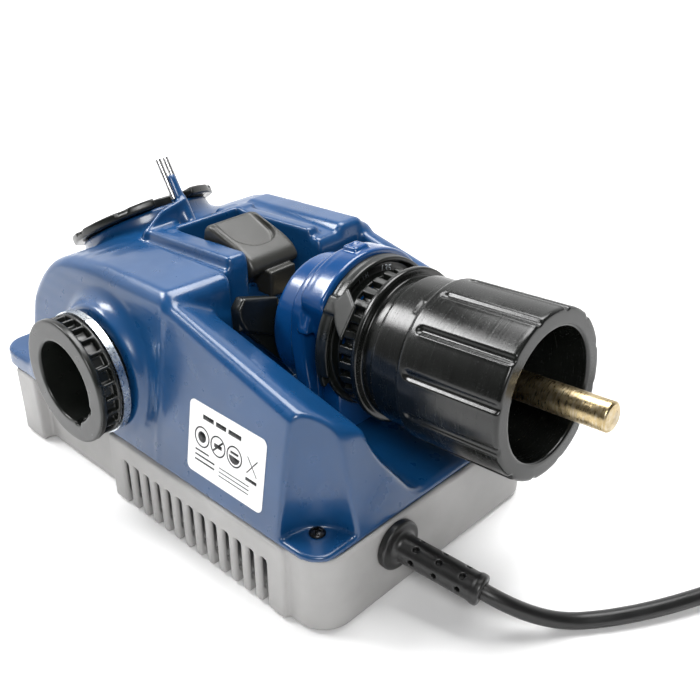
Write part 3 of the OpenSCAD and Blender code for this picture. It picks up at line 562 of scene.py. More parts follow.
METALS = {
    "screw_black": ((0.05, 0.05, 0.052), 0.3, 0.6),
    "steel": ((0.6, 0.6, 0.6), 0.26, 0.4, 0.02, (1, 1, 0.2)),
    "zinc_steel": ((0.7, 0.74, 0.77), 0.3, 1.2, 0.03, (1, 1, 1), (0.5, 0.55, 0.6)),
    "bush_bronze": ((0.55, 0.38, 0.16), 0.38, 0.3, 0.05),
    "plug_brass": ((0.7, 0.55, 0.26), 0.25, 0.5, 0.02, (0.2, 1, 1)),
}
SINGLE = {"chuck_black": turned_black, "label_white": paper, "copper": copper_turns,
          "diamond_grit": diamond_grit, "drill_bronze": bronze_bit}

# One finished material for each of the record's material slots.
MATERIALS = {
    **{name: plastic(name, *values) for name, values in PLASTICS.items()},
    **{name: metal(name, *values) for name, values in METALS.items()},
    **{name: finish(name) for name, finish in SINGLE.items()},
}


# ---- upper housing

def plan(x, y, left=0.0):
    """The body's outline seen from above, with its left side at x = left."""
    dx = np.abs(x - (BODY_W + left) / 2) - (BODY_W - left) / 2 + BODY_R
    dy = np.abs(y - BODY_L / 2) - BODY_L / 2 + BODY_R
    return np.hypot(np.maximum(dx, 0), np.maximum(dy, 0)) + np.minimum(np.maximum(dx, dy), 0) - BODY_R


def side_walls(x, z):
    """The half-spaces inside the leaning left and right walls."""
    left = ((z - SEAM_Z) * math.tan(LEFT_DRAFT) - x) * math.cos(LEFT_DRAFT)
    right = (x - BODY_W + (z - SEAM_Z) * math.tan(RIGHT_DRAFT)) * math.cos(RIGHT_DRAFT)
    return left, right


def top_block(x, y, z):
    """The tall rear part: its top falls slightly to the back, then steeply down to the rear deck."""
    left, right = side_walls(x, z)
    back = [(100, TOP_Z + 0.5), (172, 118.5), (190, 114), (203, 105), (214, 88), (217.4, DECK_Z), (217.5, 20)]
    top = side_of(y, z, back[1], back[0])
    for p, q in zip(back[1:], back[2:]):
        top = both(top, side_of(y, z, q, p), 5)
    body = both(top, left, 5.5)
    body = both(body, right, 6)
    left_part = both(both(body, 100 + 0.06 * (46.5 - x) - y, 6.5), x - 46.8, 1.2)
    right_part = both(both(body, 100 - y, 4), 102 - x, 1)
    middle = both(body, 107.5 - y, 1.5)
    return join(join(left_part, middle, 0.8), right_part, 0.5)


def arm_block(x, y, z):
    """The low front part: both arms' tops fall to the front, and the left one also falls to the right."""
    left, right = side_walls(x, z)
    front = side_of(y, z, (9.5, 83), (1.5, SEAM_Z))
    top = side_of(y, z, (94, 115), (19, 97.5))
    body = both(front, top, 11)
    fall = math.tan(math.radians(28.8))
    rise = math.tan(math.radians(13.1))
    slope = (z - 115 - (y - 94) * rise + (x - 17) * fall) / math.sqrt(1 + fall ** 2 + rise ** 2)
    body = both(body, np.where(x < 84, slope, FAR_INSIDE), 2)
    body = both(body, left, 4.2)
    body = both(body, right, 5)
    return both(body, y - 106, 1)


def channel(x, y, z):
    """The gap between the arms where the chuck lies."""
    tilt = math.radians(7.2)
    h = (z - 43) * math.cos(tilt) - y * math.sin(tilt)
    outline = [(62, 0), (114, 0), (128, 25), (131, 50), (131, 110), (34, 110), (34, 50), (38, 31)]
    return both(convex(x, h, outline, 5), y - 100, 3)


def rims(x, y, z):
    """Raised bars beside and behind the lever's pocket, and the block at the right."""
    fall = 0.06 * (y - 110)
    left_bar = block(x, y, z + fall, (51.5, 107.5, 100), (70, 176, 124.4), 2.6)
    right_bar = block(x, y, z + fall, (95, 107.5, 100), (109.5, 172, 124.2), 2.4)
    right_block = block(x, y, z + fall, (116.5, 100.5, 100), (134.2, 174, 123.4), 4)
    back_bar = block(x, y, z + fall, (58, 158, 100), (112, 164.5, 125.0), 1.0)
    bars = join(join(left_bar, right_bar), back_bar, 0.6)
    return join(bars, right_block, 1.6)


def sharpen_seat(x, y, z):
    """Leaning round boss under the sharpening port, cut off by the body's back face."""
    return both(drum(*moved_back(SHARPEN, x, y, z), 35, -74, -4, 1.5), y - BODY_L + 0.5)


def split_seat(x, y, z):
    """Round boss that carries the splitting port's steel ring out of the leaning wall."""
    radius = np.hypot(y - SPLIT_Y, z - SPLIT_Z)
    return both(radius - 30.2 - 0.2 * np.maximum(x, 0), 2.3 - x, 1.5)


def housing_form(x, y, z):
    """The upper housing as a solid, before it is hollowed."""
    body = join(top_block(x, y, z), arm_block(x, y, z), 3)
    body = join(body, rims(x, y, z), 2.2)
    groove = capsule(x, y, z, (49.2, 100, 121.6), (49.2, 172, 117.6), 2.3, 2.3)
    body = cut(body, groove, 1.2)
    body = join(body, sharpen_seat(x, y, z), 7)
    body = join(body, both(split_seat(x, y, z), x - 30), 6)
    deck = block(x, y, z, (0, 190, 30), (BODY_W, BODY_L, DECK_Z), 2)
    body = join(body, deck, 5)
    body = both(body, plan(x, y), 1)
    body = cut(body, channel(x, y, z), 2.4)
    for px in (3, BODY_W - 3):
        corner_pocket = both(np.hypot(x - px, y - 3) - 20.8, POCKET_Z - z, 1.0)
        body = cut(body, corner_pocket, 1.1)
    lever_pocket = block(x, y, z, (62.5, 80, 82), (101.5, 161, 200), 1.5)
    return cut(body, lever_pocket, 0.9)


def post(x, y, z):
    """Leaning post of crossed ribs, with a wall that runs from it to the left."""
    u, v, w = moved_back(POST, x, y, z)
    column = capsule(u, v, w, (0, 0, 0), (0, 0, 25.6), 4.2, 3.6)
    column = both(column, w - 26, 0.4)
    for angle, foot in ((-50, 14), (25, 13), (100, 9), (190, 10)):
        along, across = turned(u, v, angle)
        rib = convex(along, w, [(0, -2), (foot, -2), (4.4, 14), (4.4, 26), (0, 26)], 0.4)
        column = join(column, both(rib, np.abs(across) - 0.95, 0.4), 0.6)
    wall = convex(x, z, [(50, 112), (78, 112), (78, 131.6), (62, 128.5), (50, 119)], 0.8)
    wall = both(wall, np.abs(y - 171.5) - 1.1, 0.4)
    return join(column, wall, 0.7)


def upper_housing(x, y, z):
    """The housing as a shell, with its post, screw bosses and openings."""
    form = housing_form(x, y, z)
    shell = cut(form, form + WALL)
    shell = join(shell, both(post(x, y, z), 115 - z), 1.6)
    shell = both(shell, SEAM_Z + 0.05 - z, 0.7)
    for place, depth in ((SPLIT, 40), (SHARPEN, 60)):
        u, v, w = moved_back(place, x, y, z)
        shell = cut(shell, both(np.hypot(u, v) - BARREL_HOLE_R, -w - depth), 0.5)
    u, v, w = moved_back(ALIGN, x, y, z)
    shell = cut(shell, both(np.hypot(u, v) - 12, np.abs(w + 37) - 15), 0.5)
    u, v, w = moved_back(POST, x, y, z)
    for side in (-2.2, 2.2):
        shell = cut(shell, both(np.hypot(u - side, v) - 1.7, 12 - w))
    for px, py, _ in SCREW_SEATS:
        radius = np.hypot(x - px, y - py)
        boss = both(radius - 5.5, np.maximum(z - 48, SEAM_Z - z))
        shell = join(shell, both(boss, form), 0.5)
        shell = cut(shell, radius - 2.2)
    u, v, w = moved_back(SWITCH, x, y, z)
    return cut(shell, block(u, v, w, (-10.7, -6.7, -11), (10.7, 6.7, 3)), 0.3)


# ---- base

def base_tray(x, y, z):
    """Tray with raised panels and a recess in its left side, comb vents, screw bosses and openings."""
    outline = plan(x, y, 2.5)
    panel = block(x, y, z, (0, 21, -10), (20, 146, 38), 0.8)
    rear = block(x, y, z, (0, 214, -10), (20, 233, 60), 0.8)
    form = join(join(outline, panel), rear)
    form = cut(form, block(x, y, z, (-20, 146, -20), (6, 214, 80), 1.0), 0.8)
    form = both(form, z - SEAM_Z + 0.05, 0.6)
    form = both(form, 1 - z, 0.8)
    above_floor = TRAY_FLOOR + WALL - z
    hollow = np.minimum(both(form + WALL, above_floor), both(form + WALL, z - TRAY_FLOOR))
    opening = both(outline + WALL, above_floor)
    tray = np.where(z > SEAM_Z - WALL - 1, cut(form, opening), cut(form, hollow))
    pitch = 8.25
    slot_y = y - 83.5
    nearest = np.clip(np.round(slot_y / pitch), -6, 6)
    slot = both(np.abs(slot_y - nearest * pitch) - 2, z - 27, 0.6)
    tray = cut(tray, both(slot, x - 7), 0.5)
    relief_hole = both(np.hypot(x - RELIEF_X, z - RELIEF_Z) - 6.5, y - 8)
    tray = cut(tray, relief_hole, 0.4)
    door = block(x, y, z, (42, 240, 9), (100, 260, 34))
    tray = cut(tray, door, 0.4)
    for px, py, _ in SCREW_SEATS:
        radius = np.hypot(x - px, y - py)
        boss = both(radius - 5.5, np.maximum(z - SEAM_Z + 0.1, TRAY_FLOOR - z))
        tray = join(tray, boss, 0.5)
        tray = cut(tray, both(radius - 1.6, 15 - z))
    for px, py in FEET:
        tray = cut(tray, np.hypot(x - px, y - py) - 2.6)
    return tray


# ---- ports

def split_port(x, y, z):
    """Tube with a finned waist between its face and a thin band, and two key slots."""
    face = drum(x, y, z, 30, SPLIT_REACH - 3.5, SPLIT_REACH, 0.6)
    band = drum(x, y, z, 29.4, SPLIT_REACH - 11.5, SPLIT_REACH - 9.7, 0.4)
    waist = drum(x, y, z, 26, SPLIT_REACH - 11, SPLIT_REACH - 2)
    barrel = drum(x, y, z, BARREL_R, -28, SPLIT_REACH - 4, 0.5)
    u, v = spun(x, y, 24)
    fins = block(u, v, z, (24.5, -0.75, SPLIT_REACH - 11), (29.2, 0.75, SPLIT_REACH - 2), 0.3)
    body = join(join(join(face, band), waist), join(barrel, fins, 0.4))
    body = cut(body, np.hypot(x, y) - PORT_BORE, 0.8)
    for angle in (200, 250):
        notch = block(*turned(x, y, angle), z, (18, -2.2, SPLIT_REACH - 5), (21.3, 2.2, 30), 0.3)
        body = cut(body, notch, 0.3)
    return body


def sharpen_port(x, y, z):
    """Tube with a wide flange, notched at its rim and cut away at the front."""
    flange = drum(x, y, z, 39.5, -3.8, 0.6, 0.7)
    barrel = drum(x, y, z, BARREL_R, -50, -2, 0.5)
    body = cut(join(flange, barrel, 1.5), np.hypot(x, y) - PORT_BORE, 0.8)
    u, v = spun(x, y, 8)
    body = cut(body, block(u, v, z, (37.2, -3.2, -1.4), (45, 3.2, 5), 0.3), 0.3)
    return cut(body, block(x, y, z, (-13, -50, -5), (9, -31, 5), 0.6), 0.5)


def port_legs(x, y):
    """Outline of the port's front plate: a round top that draws in to two straight legs."""
    top = both(np.hypot(x, y) - 39.4, side_of(-np.abs(x), y, (-31, 22), (-25, 3)), 3)
    legs = both(np.abs(x) - 24.5, y - 6)
    return join(top, legs, 7)


def align_port(x, y, z):
    """Front plate on two legs, a saddle and a round back behind it, and the scale ring's spigot in front."""
    plate = both(port_legs(x, y), np.abs(z + 5) - 5, 0.9)
    rim = both(both(port_legs(x, y), np.hypot(x, y) - 39.4), 12 - y)
    plate = join(plate, both(rim, np.abs(z + 7) - 6.5), 0.3)
    saddle = join(np.hypot(x, y) - 35.6, both(np.abs(x) - 31.5, y), 1.0)
    saddle = both(both(saddle, np.abs(x) - 31.5, 3), np.abs(z + 16.5) - 3.9, 1.2)
    back = drum(x, y, z, 31, -34, -14, 2.4)
    arch = both(np.hypot(x, y) - 33.5, 8 - y)
    link = both(arch, np.abs(z + 12) - 3)
    foot = block(x, y, z, (-24, -60, -20), (24, -8, -8), 0.5)
    spigot = drum(x, y, z, 27, -1, 6.5, 0.4)
    body = join(join(plate, link, 0.8), join(saddle, back, 1.6), 0.8)
    body = join(join(body, foot, 0.8), spigot)
    tab = block(x, y, z, (-5, 37, -11.5), (4, 41.4, -3.5), 0.6)
    body = cut(join(body, tab, 0.8), block(x, y, z, (-3.2, 40.2, -9.6), (2.2, 43, -7.6), 0.2), 0.2)
    cx, cy, cz = moved(ALIGN, x, y, z)
    body = both(body, channel(cx, cy, cz) + 0.12, 0.8)
    body = cut(body, np.hypot(x, y) - PORT_BORE, 0.7)
    keyway = block(*turned(x, y, KEY_ANGLE), z, (17, -2.2, -50), (21.3, 2.2, 50), 0.2)
    body = cut(body, keyway, 0.2)
    for px in (CHUCK_X - 18, CHUCK_X + 18):
        screw_hole = both(np.hypot(cx - px, cy - 60.1) - 1.3, cz - 61.5)
        body = cut(body, screw_hole)
    return body


def scale_ring(x, y, z):
    """Shallow dished ring over the top of the port, with a five-sided pointer at its left."""
    radius = np.hypot(x, y)
    plate = tube(x, y, z, 33, 27.06, 0.06, 2.6, 0.3)
    plate = join(plate, tube(x, y, z, 29.4, 27.06, 0.06, 6.9, 0.5), 0.6)
    upper = both(tube(x, y, z, 37.0, 30, 0.06, 2.4, 0.4), -y - 0.5 * np.abs(x) + 4, 1)
    wall = both(np.abs(radius - 35.7) - 1.2, np.abs(z - 3.2) - 3.1, 0.5)
    wall = both(wall, -y - 0.35 * np.abs(x) + 6, 1)
    body = join(join(plate, upper), wall, 0.8)
    u, v = turned(x, y, 140)
    leaf = convex(v, z, [(-9.9, 8.2), (-1.6, 4.2), (6.5, 9.4), (12.4, 16.2), (-3.0, 16.2)], 0.5)
    leaf = both(leaf, np.abs(u - 37.3) - 0.9, 0.4)
    stem = block(v, z, u, (-5, 0.3, 34.8), (3, 7, 38.0), 0.5)
    return join(join(body, stem, 0.6), leaf, 0.4)


def claw_bracket(x, y, z):
    """Black plate behind the port, thicker where its left ear shows beside the port."""
    lower = convex(x, y, [(-45, 8), (-14, -27), (14, -27), (38, 0), (38, 8)], 0.8)
    left_ear = convex(x, y, [(-46, 6), (-24, 6), (-24, 15.8), (-42, 21.5), (-46, 17)], 0.8)
    right_ear = convex(x, y, [(24, 6), (38, 6), (38, 20), (24, 20)], 0.8)
    plate = join(join(lower, left_ear, 0.5), right_ear, 0.5)
    plate = both(plate, np.abs(z + 41) - 2.5, 0.5)
    outline = [(-46, 12.5), (-42.7, 5.6), (-22, -4.6), (-22, 15.8), (-42, 21.5), (-46, 17)]
    raised = both(convex(x, y, outline, 0.8), np.abs(z + 39) - 1.8, 1.1)
    body = join(plate, raised, 0.2)
    body = cut(body, np.hypot(x, y) - 13, 0.4)
    body = cut(body, block(x, y, z, (-60, -4.05, -42.55), (60, 4.05, -39.45)))
    for px in (-20, 20):
        stand = drum(x - px, y + 14, z, 4, -48.1, -43, 0.2)
        body = cut(join(body, stand), np.hypot(x - px, y + 14) - 2.1)
    return body


# ---- lever

def lever(x, y, z):
    """Thumb lever: a dished pad that falls to the front, a curved front and a nose with a step below it."""
    outline = [(131, 90), (143, 91), (144.5, 112), (141.5, 127), (137, 129.2), (112.5, 121.8), (107, 117.5),
               (104.5, 110), (106.5, 104), (120, 100)]
    body = convex(y, z, outline, 2.4)
    body = both(body, np.abs(x - 79) - 15, 2.6)
    slope = math.radians(16.5)
    along = (y - 114) * math.cos(slope) + (z - 122) * math.sin(slope)
    above = (z - 122) * math.cos(slope) - (y - 114) * math.sin(slope)
    scoop = np.hypot(np.maximum(np.abs(x - 80) - 1.5, 0), np.minimum(along - 11.5, 0)) - 10.5
    floor = -4.2 + 0.11 * along - above
    body = cut(body, both(scoop, floor, 1.6), 0.7)
    nose = block(x, y, z, (72, 102.6, 99.5), (88, 122, 112.6), 0.8)
    body = join(body, nose, 0.4)
    body = cut(body, block(x, y, z, (66, 90, 112.6), (92, 105.4, 115.6), 0.6), 0.5)
    under = block(x, y, z, (60, 113, 80), (120, 131, 103), 2)
    body = cut(body, under, 1.0)
    return cut(body, np.hypot(y - 138, z - 96) - 2.6, 0.3)


# ---- chuck

def chuck_body(x, y, z):
    """Keyed nose, flange, neck, barrel and hub round the drill's bore, slotted for six jaws."""
    nose = drum(x, y, z, NOSE_R, -34, 20, 1.0)
    flange = drum(x, y, z, 35.5, 19, 22.2, 0.8)
    barrel = drum(x, y, z, 33.4, 28.4, 43.8, 0.7)
    neck = drum(x, y, z, 31.6, 21, 30, 0.3)
    hub = drum(x, y, z, 14, 43, 57, 0.5)
    body = join(join(nose, flange), join(join(barrel, neck, 0.4), hub), 0.4)
    key = block(*turned(x, y, KEY_ANGLE), z, (17, -2, -28), (21, 2, 8), 0.3)
    body = join(body, key, 0.2)
    body = cut(body, np.hypot(x, y) - BIT_R - 0.6, 0.4)
    u, v = spun(x, y, 6, 30)
    body = cut(body, block(u, v, z, (-1, -1.5, -40), (15.6, 1.5, 17.6)))
    tick = block(*turned(x, y, 118), z, (33.0, -3.4, 40.5), (40, 3.4, 45), 0.3)
    body = cut(body, tick, 0.2)
    return cut(body, tube(x, y, z, 16, 12.8, 54, 55.6), 0.1)


def chuck_collar(x, y, z):
    """Ring of 28 tapered teeth."""
    u, v = spun(x, y, 28)
    taper = 1.95 - 0.03 * (z - 9)
    tooth = both(np.abs(v) - taper, u - 32.4 + 0.12 * (z - 9), 0.5)
    core = np.hypot(x, y) - 28.8
    body = both(join(core, tooth, 0.5), np.abs(z - 13.95) - 4.95, 0.5)
    return cut(body, np.hypot(x, y) - NOSE_R - 0.1, 0.2)


def chuck_knob(x, y, z):
    """Cup with twelve grooves down its side, each with a bead along one edge."""
    radius = np.hypot(x, y)
    body = drum(x, y, z, KNOB_R, KNOB_Z + 0.1, RIM_Z, 1.3)
    inner = both(radius - 28 + 0.03 * (RIM_Z - z), KNOB_Z + 9 - z, 1.5)
    body = cut(body, inner, 1.1)
    body = cut(body, radius - 14.06, 0.6)
    u, v = spun(x, y, 12, 15)
    groove = capsule(u, v, z, (36.9, 0, KNOB_Z + 6), (36.9, 0, RIM_Z + 10), 2.0, 2.0)
    bead = capsule(u, v, z, (35.4, 2.4, KNOB_Z + 7), (35.4, 2.4, RIM_Z - 1.5), 0.75, 0.75)
    return cut(join(body, bead, 0.5), groove, 0.45)


def drill_bit(name):
    """Shank with a broken edge, then twisted flutes down to a ground point."""
    bm = bmesh.new()
    around, rings = 96, []
    run_out = 6
    flute_end = BIT_TIP + 40
    point = BIT_R * math.tan(math.radians(31))
    levels = [*np.linspace(BIT_TIP, BIT_TIP + point, 7)]
    levels += [*np.linspace(BIT_TIP + point + 0.4, flute_end, 90)]
    levels += [*np.linspace(flute_end + 0.6, flute_end + run_out, 8)]
    levels += [20, 80] + [BIT_TAIL - back for back in (7, 0.9, 0.5, 0.15, 0)]
    for level in levels:
        limit = min(1.0, 0.04 + (level - BIT_TIP) / point)
        fade = min(1.0, max(0.0, (flute_end + run_out - level) / run_out))
        chamfer = max(0.0, level - BIT_TAIL + 1)
        radius = BIT_R - chamfer ** 2
        spin = math.radians(7.5) * (level - BIT_TIP)
        ring = []
        for i in range(around):
            angle = 2 * math.pi * i / around
            depth = max(0.0, math.cos(2 * (angle - spin))) ** 0.8
            r = radius * (1 - 0.62 * depth * fade) * limit
            ring.append(bm.verts.new((r * math.cos(angle), r * math.sin(angle), level)))
        rings.append(ring)
    for low, high in zip(rings, rings[1:]):
        for i in range(around):
            j = (i + 1) % around
            bm.faces.new((low[i], low[j], high[j], high[i]))
    bm.faces.new(rings[0][::-1])
    bm.faces.new(rings[-1])
    obj = bmesh_object(name, bm, CORNER @ ALIGN)
    obj.data.set_sharp_from_angle(angle=math.radians(35))
    return obj


# ---- screws, relief, plug, cord

def pan_head(x, y, z):
    """Domed head with a cross recess, its seat at z = 0."""
    dome = both(np.sqrt(x ** 2 + y ** 2 + (z + 3.0) ** 2) - 5.2, np.hypot(x, y) - 3.6, 0.3)
    dome = both(dome, -z, 0.1)
    wide = np.hypot(x, y) - 2.0
    arm = np.minimum(np.abs(x) - 0.42, np.abs(y) - 0.42)
    return cut(dome, both(both(arm, wide, 0.2), 0.7 - z), 0.12)


def strain_relief(x, y, z):
    """Notched sleeve round the cord, with a flange that stays square to the front wall."""
    barrel = drum(x, y, z, 6.4, 1.8, 42, 1.0)
    lip = drum(x, y, z, 6.9, 38.4, 42, 1.0)
    body = join(barrel, lip, 0.8)
    cx, cy, cz = moved(RELIEF, x, y, z)
    radius = np.hypot(cx - RELIEF_X, cz - RELIEF_Z)
    flange = both(radius - 11.5, np.abs(cy + 2.05) - 1.95, 0.9)
    neck = both(radius - 6.4, np.abs(cy - 0.4) - 4.4, 0.4)
    body = join(body, flange, 2.2)
    body = join(body, neck)
    body = cut(body, both(np.hypot(x, y) - CORD_R - 0.06, 4 - z), 0.5)
    u, v = spun(x, y, 6)
    for level in (11, 22, 33):
        body = cut(body, both(np.hypot(v, z - level) - 1.15, 3 - u), 0.25)
    return body


def mains_plug(x, y, z):
    """Flat-sided two-pin plug with a tapered neck and grip grooves."""
    grip = convex(z, np.hypot(x, y), [(-6, -20), (8, -20), (8, 7.6), (-6, 5)], 1.2)
    body = both(drum(x, y, z, 13, 8, 34, 1.6), np.abs(x) - 8, 1.4)
    body = join(body, grip, 1.5)
    for level in (13, 17, 21, 25):
        body = cut(body, np.hypot(np.abs(x) - 8.8, z - level) - 1.3, 0.3)
    body = cut(body, both(np.hypot(x, y) - CORD_R - 0.6, z - 0.1), 0.4)
    for side in (-6.35, 6.35):
        body = cut(body, block(x, y, z, (-3.2, side - 0.8, 30), (3.2, side + 0.8, 50)))
    return body


def bezier(p, t):
    """Point at t along the cubic curve with the four control points p."""
    s = 1 - t
    return s ** 3 * p[0] + 3 * s * s * t * p[1] + 3 * s * t * t * p[2] + t ** 3 * p[3]


def cord(name):
    """The cord's centre line in the corner frame, as one smooth curve with a round section."""
    yaw, droop, ground = math.radians(CORD_YAW), math.radians(CORD_DROOP), CORD_R + 0.05
    way = Vector((math.sin(yaw) * math.cos(droop), -math.cos(yaw) * math.cos(droop), -math.sin(droop)))
    root = Vector((RELIEF_X, 0, RELIEF_Z))
    end = root + way * 42
    drop = [end, end + way * 11, Vector((70, -60, ground)), Vector((85, -72.4, ground))]
    run = [drop[3], Vector((118, -101, ground)), PLUG_PLACE - Vector((45, 0, 0)), PLUG_PLACE]
    path = [root + way * 4.5] + [bezier(drop, i / 24) for i in range(25)]
    path += [bezier(run, i / 36) for i in range(1, 37)]
    curve = bpy.data.curves.new(name, "CURVE")
    curve.dimensions = "3D"
    curve.bevel_depth = CORD_R * 0.001
    curve.bevel_resolution = 6
    curve.use_fill_caps = True
    spline = curve.splines.new("POLY")
    spline.points.add(len(path) - 1)
    for point, place in zip(spline.points, path):
        point.co = (*(CORNER @ place), 1)
    spline.use_smooth = True
    return linked(name, curve)


# ---- label and dial marks

def flat_patch(bm, points, height, place=Matrix()):
    """A closed outline, drawn in a frame's x and y and raised to a thin plate."""
    verts = [bm.verts.new(place @ Vector((x, y, 0))) for x, y in points]
    face = bm.faces.new(verts)
    raised = bmesh.ops.extrude_face_region(bm, geom=[face])
    upper = [v for v in raised["geom"] if isinstance(v, bmesh.types.BMVert)]
    bmesh.ops.translate(bm, verts=upper, vec=place.to_3x3() @ Vector((0, 0, height)))


def arc(cx, cy, r, start=0, end=360, count=40):
    """Points round a circle, or round part of one."""
    steps = [math.radians(start + (end - start) * i / count) for i in range(count)]
    return [(cx + r * math.cos(a), cy + r * math.sin(a)) for a in steps]


def flat_ring(bm, cx, cy, outer, inner, height):
    """A thin ring built from short straight pieces."""
    outside, inside = arc(cx, cy, outer), arc(cx, cy, inner)
    for i in range(len(outside)):
        flat_patch(bm, [outside[i - 1], outside[i], inside[i], inside[i - 1]], height)


def bar(x0, y0, x1, y1, width):
    """Corners of a straight stroke with square ends."""
    dx, dy = x1 - x0, y1 - y0
    length = math.hypot(dx, dy)
    nx, ny = -dy / length * width / 2, dx / length * width / 2
    return [(x0 + nx, y0 + ny), (x0 - nx, y0 - ny), (x1 - nx, y1 - ny), (x1 + nx, y1 + ny)]


def label_marks(name):
    """Plain shapes in place of the label's print: three round marks, a cross and rows of short bars."""
    bm = bmesh.new()
    ink = 0.03
    for x in (9, 19.5, 30):
        flat_ring(bm, x, 18.5, 4.9, 4.2, ink)
    shapes = [arc(9, 18.5, 2.6), arc(30, 18.5, 3.4, 180, 360)]
    strokes = [(16.6, 15.6, 22.4, 21.4, 0.9), (38, 22.5, 44, 15, 0.5), (44, 22.5, 38, 15, 0.5)]
    level_bars = [(17, 22, 18.5, 1.8), (27.5, 32.5, 20.0, 1.1), (37.6, 44.4, 12.2, 1.5),
                  (9, 16, 28.4, 2.1), (17.5, 24, 28.4, 2.1), (25.5, 33.5, 28.4, 2.1)]
    level_bars += [(5, end, 11.6 - row * 2.4, 0.8) for row, end in enumerate((14, 18, 18))]
    level_bars += [(21, 40, 9.2 - row * 1.9, 0.45) for row in range(3)]
    strokes += [(x0, y, x1, y, width) for x0, x1, y, width in level_bars]
    for outline in shapes + [bar(*stroke) for stroke in strokes]:
        flat_patch(bm, outline, ink)
    return bmesh_object(name, bm, CORNER @ LABEL @ at(0, 0, 0.26))


def dial_marks(name):
    """Short strokes round the inside of the scale ring's wall."""
    bm = bmesh.new()
    for i, angle in enumerate(range(70, 171, 10)):
        place = turn("Z", angle) @ at(34.5, 0, 4.4) @ turn("Y", -90)
        length = 1.9 if i % 2 else 2.9
        flat_patch(bm, bar(-length / 2, 0, length / 2, 0, 0.44), 0.08, place)
    return bmesh_object(name, bm, CORNER @ ALIGN)


def dial_number(name, text, angle):
    """Raised figures on the scale ring's front plate, read from the user's side."""
    curve = bpy.data.curves.new(name, "FONT")
    curve.body = text
    curve.size = 5.0
    curve.extrude = 0.12
    curve.align_x = "CENTER"
    curve.align_y = "CENTER"
    obj = linked(name, curve)
    obj.matrix_world = CORNER @ ALIGN @ turn("Z", angle) @ at(30.6, 0, 2.65) @ turn("Z", -90)
    return obj


# ---- assembly

SLOTS = {part["node"]: part["material_slot"] for part in frame["record"]["subparts"]}
BODIES = {node: body for body, nodes in frame["record"]["behaviour"]["bodies"].items() for node in nodes}

# Widths in millimetres of the broken edges on the CAD nodes that are kept.
KEPT_BEVELS = {
    "rubber_feet": 0.5, "split_port_collar": 0.5, "sharpen_port_nut": 0.5, "follower_pins": 0.3,
    "align_port_screws": 0.2, "claw_bracket_screws": 0.2, "lever_pin": 0.2,
    "left_claw": 0.25, "right_claw": 0.25, "knob_clip": 0.15, "rating_label": 0.05,
    "motor_can": 0.8, "motor_end_cap": 0.6, "motor_magnets": 0.3, "motor_bushes": 0.2, "motor_screws": 0.2,
    "motor_cradle": 0.4, "motor_shaft": 0.2, "rotor_core": 0.2, "cooling_fan": 0.15, "diamond_wheel": 0.5,
    "wheel_screw": 0.2, "rectifier_board": 0.15, "switch_housing": 0.4, "switch_rocker": 0.4,
    "wheel_access_door": 0.35, "door_pin": 0.1, "plug_pins": 0.3, "lever_spring": 0.0,
    **{"chuck_jaw_%d" % i: 0.2 for i in range(1, 7)},
}


def finish_cad_nodes():
    """CAD pieces whose shape is right: broken edges and a real finish."""
    for node, width in KEPT_BEVELS.items():
        obj = frame["nodes"][node]
        for place in obj.material_slots:
            place.material = MATERIALS[SLOTS[node]]
        if width > 0:
            soften_edges(obj, width)


def dress(obj, slot, body):
    """Gives a piece its finish and the body that it moves with."""
    obj.data.materials.clear()
    obj.data.materials.append(MATERIALS[slot])
    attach(obj, body)


def stand_in(obj, node):
    """Shows a piece in a CAD node's place, with that node's finish and body."""
    dress(obj, SLOTS[node], BODIES[node])
    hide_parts(node)


FIELDS = [
    # name, CAD node replaced, field, low corner, high corner, step, softening, frame
    ("housing_shell", "upper_housing", upper_housing, (-1, -1, 38), (151, 249, 145), 1.0, 0.62, Matrix()),
    ("base_shell", "base_tray", base_tray, (-1, -1, 0), (151, 249, 40), 1.0, 0.5, Matrix()),
    ("splitting_port", "split_port_tube", split_port, (-31, -31, -28), (31, 31, 17), 0.6, 0.3, SPLIT),
    ("sharpening_port", "sharpen_port_tube", sharpen_port, (-40, -40, -50), (40, 40, 1), 0.7, 0.35, SHARPEN),
    ("alignment_port", "align_port_body", align_port, (-42, -46, -35), (42, 42, 7), 0.7, 0.45, ALIGN),
    ("dial_ring", "angle_scale_ring", scale_ring, (-41, -41, 0), (41, 41, 17), 0.5, 0.3, ALIGN),
    ("thumb_lever", "align_lever", lever, (63, 101, 88), (96, 147, 132), 0.55, 0.35, Matrix()),
    ("claw_guide", "claw_bracket", claw_bracket, (-47, -28, -49), (39, 22, -36), 0.55, 0.3, ALIGN),
    ("chuck_barrel", "chuck_body", chuck_body, (-36, -36, -35), (36, 36, 58), 0.6, 0.3, ALIGN),
    ("chuck_teeth", "chuck_collar", chuck_collar, (-33, -33, 8), (33, 33, 20), 0.45, 0.25, ALIGN),
    ("grip_knob", "chuck_knob", chuck_knob, (-37, -37, 43), (37, 37, 95), 0.6, 0.3, ALIGN),
    ("cord_relief", "strain_relief", strain_relief, (-13, -13, -6), (13, 13, 43), 0.4, 0.25, RELIEF),
    ("cord_plug", "mains_plug", mains_plug, (-9, -14, -7), (9, 14, 35), 0.5, 0.3, PLUG),
]


def build_pieces():
    """Every piece that is drawn here, each in the place of a CAD node or as a mark on one."""
    for name, node, field, low, high, step, soften, place in FIELDS:
        stand_in(field_mesh(name, field, low, high, step, soften, CORNER @ place), node)
    stand_in(drill_bit("bit"), "drill_bit")
    stand_in(cord("lead"), "power_cord")
    dress(label_marks("label_print"), "screw_black", "base")
    dress(dial_marks("dial_strokes"), "lever_grey", "scale_ring")
    for text, angle in (("118", 104), ("135", 76)):
        dress(dial_number("dial_" + text, text, angle), "zinc_steel", "scale_ring")
    build_screws()


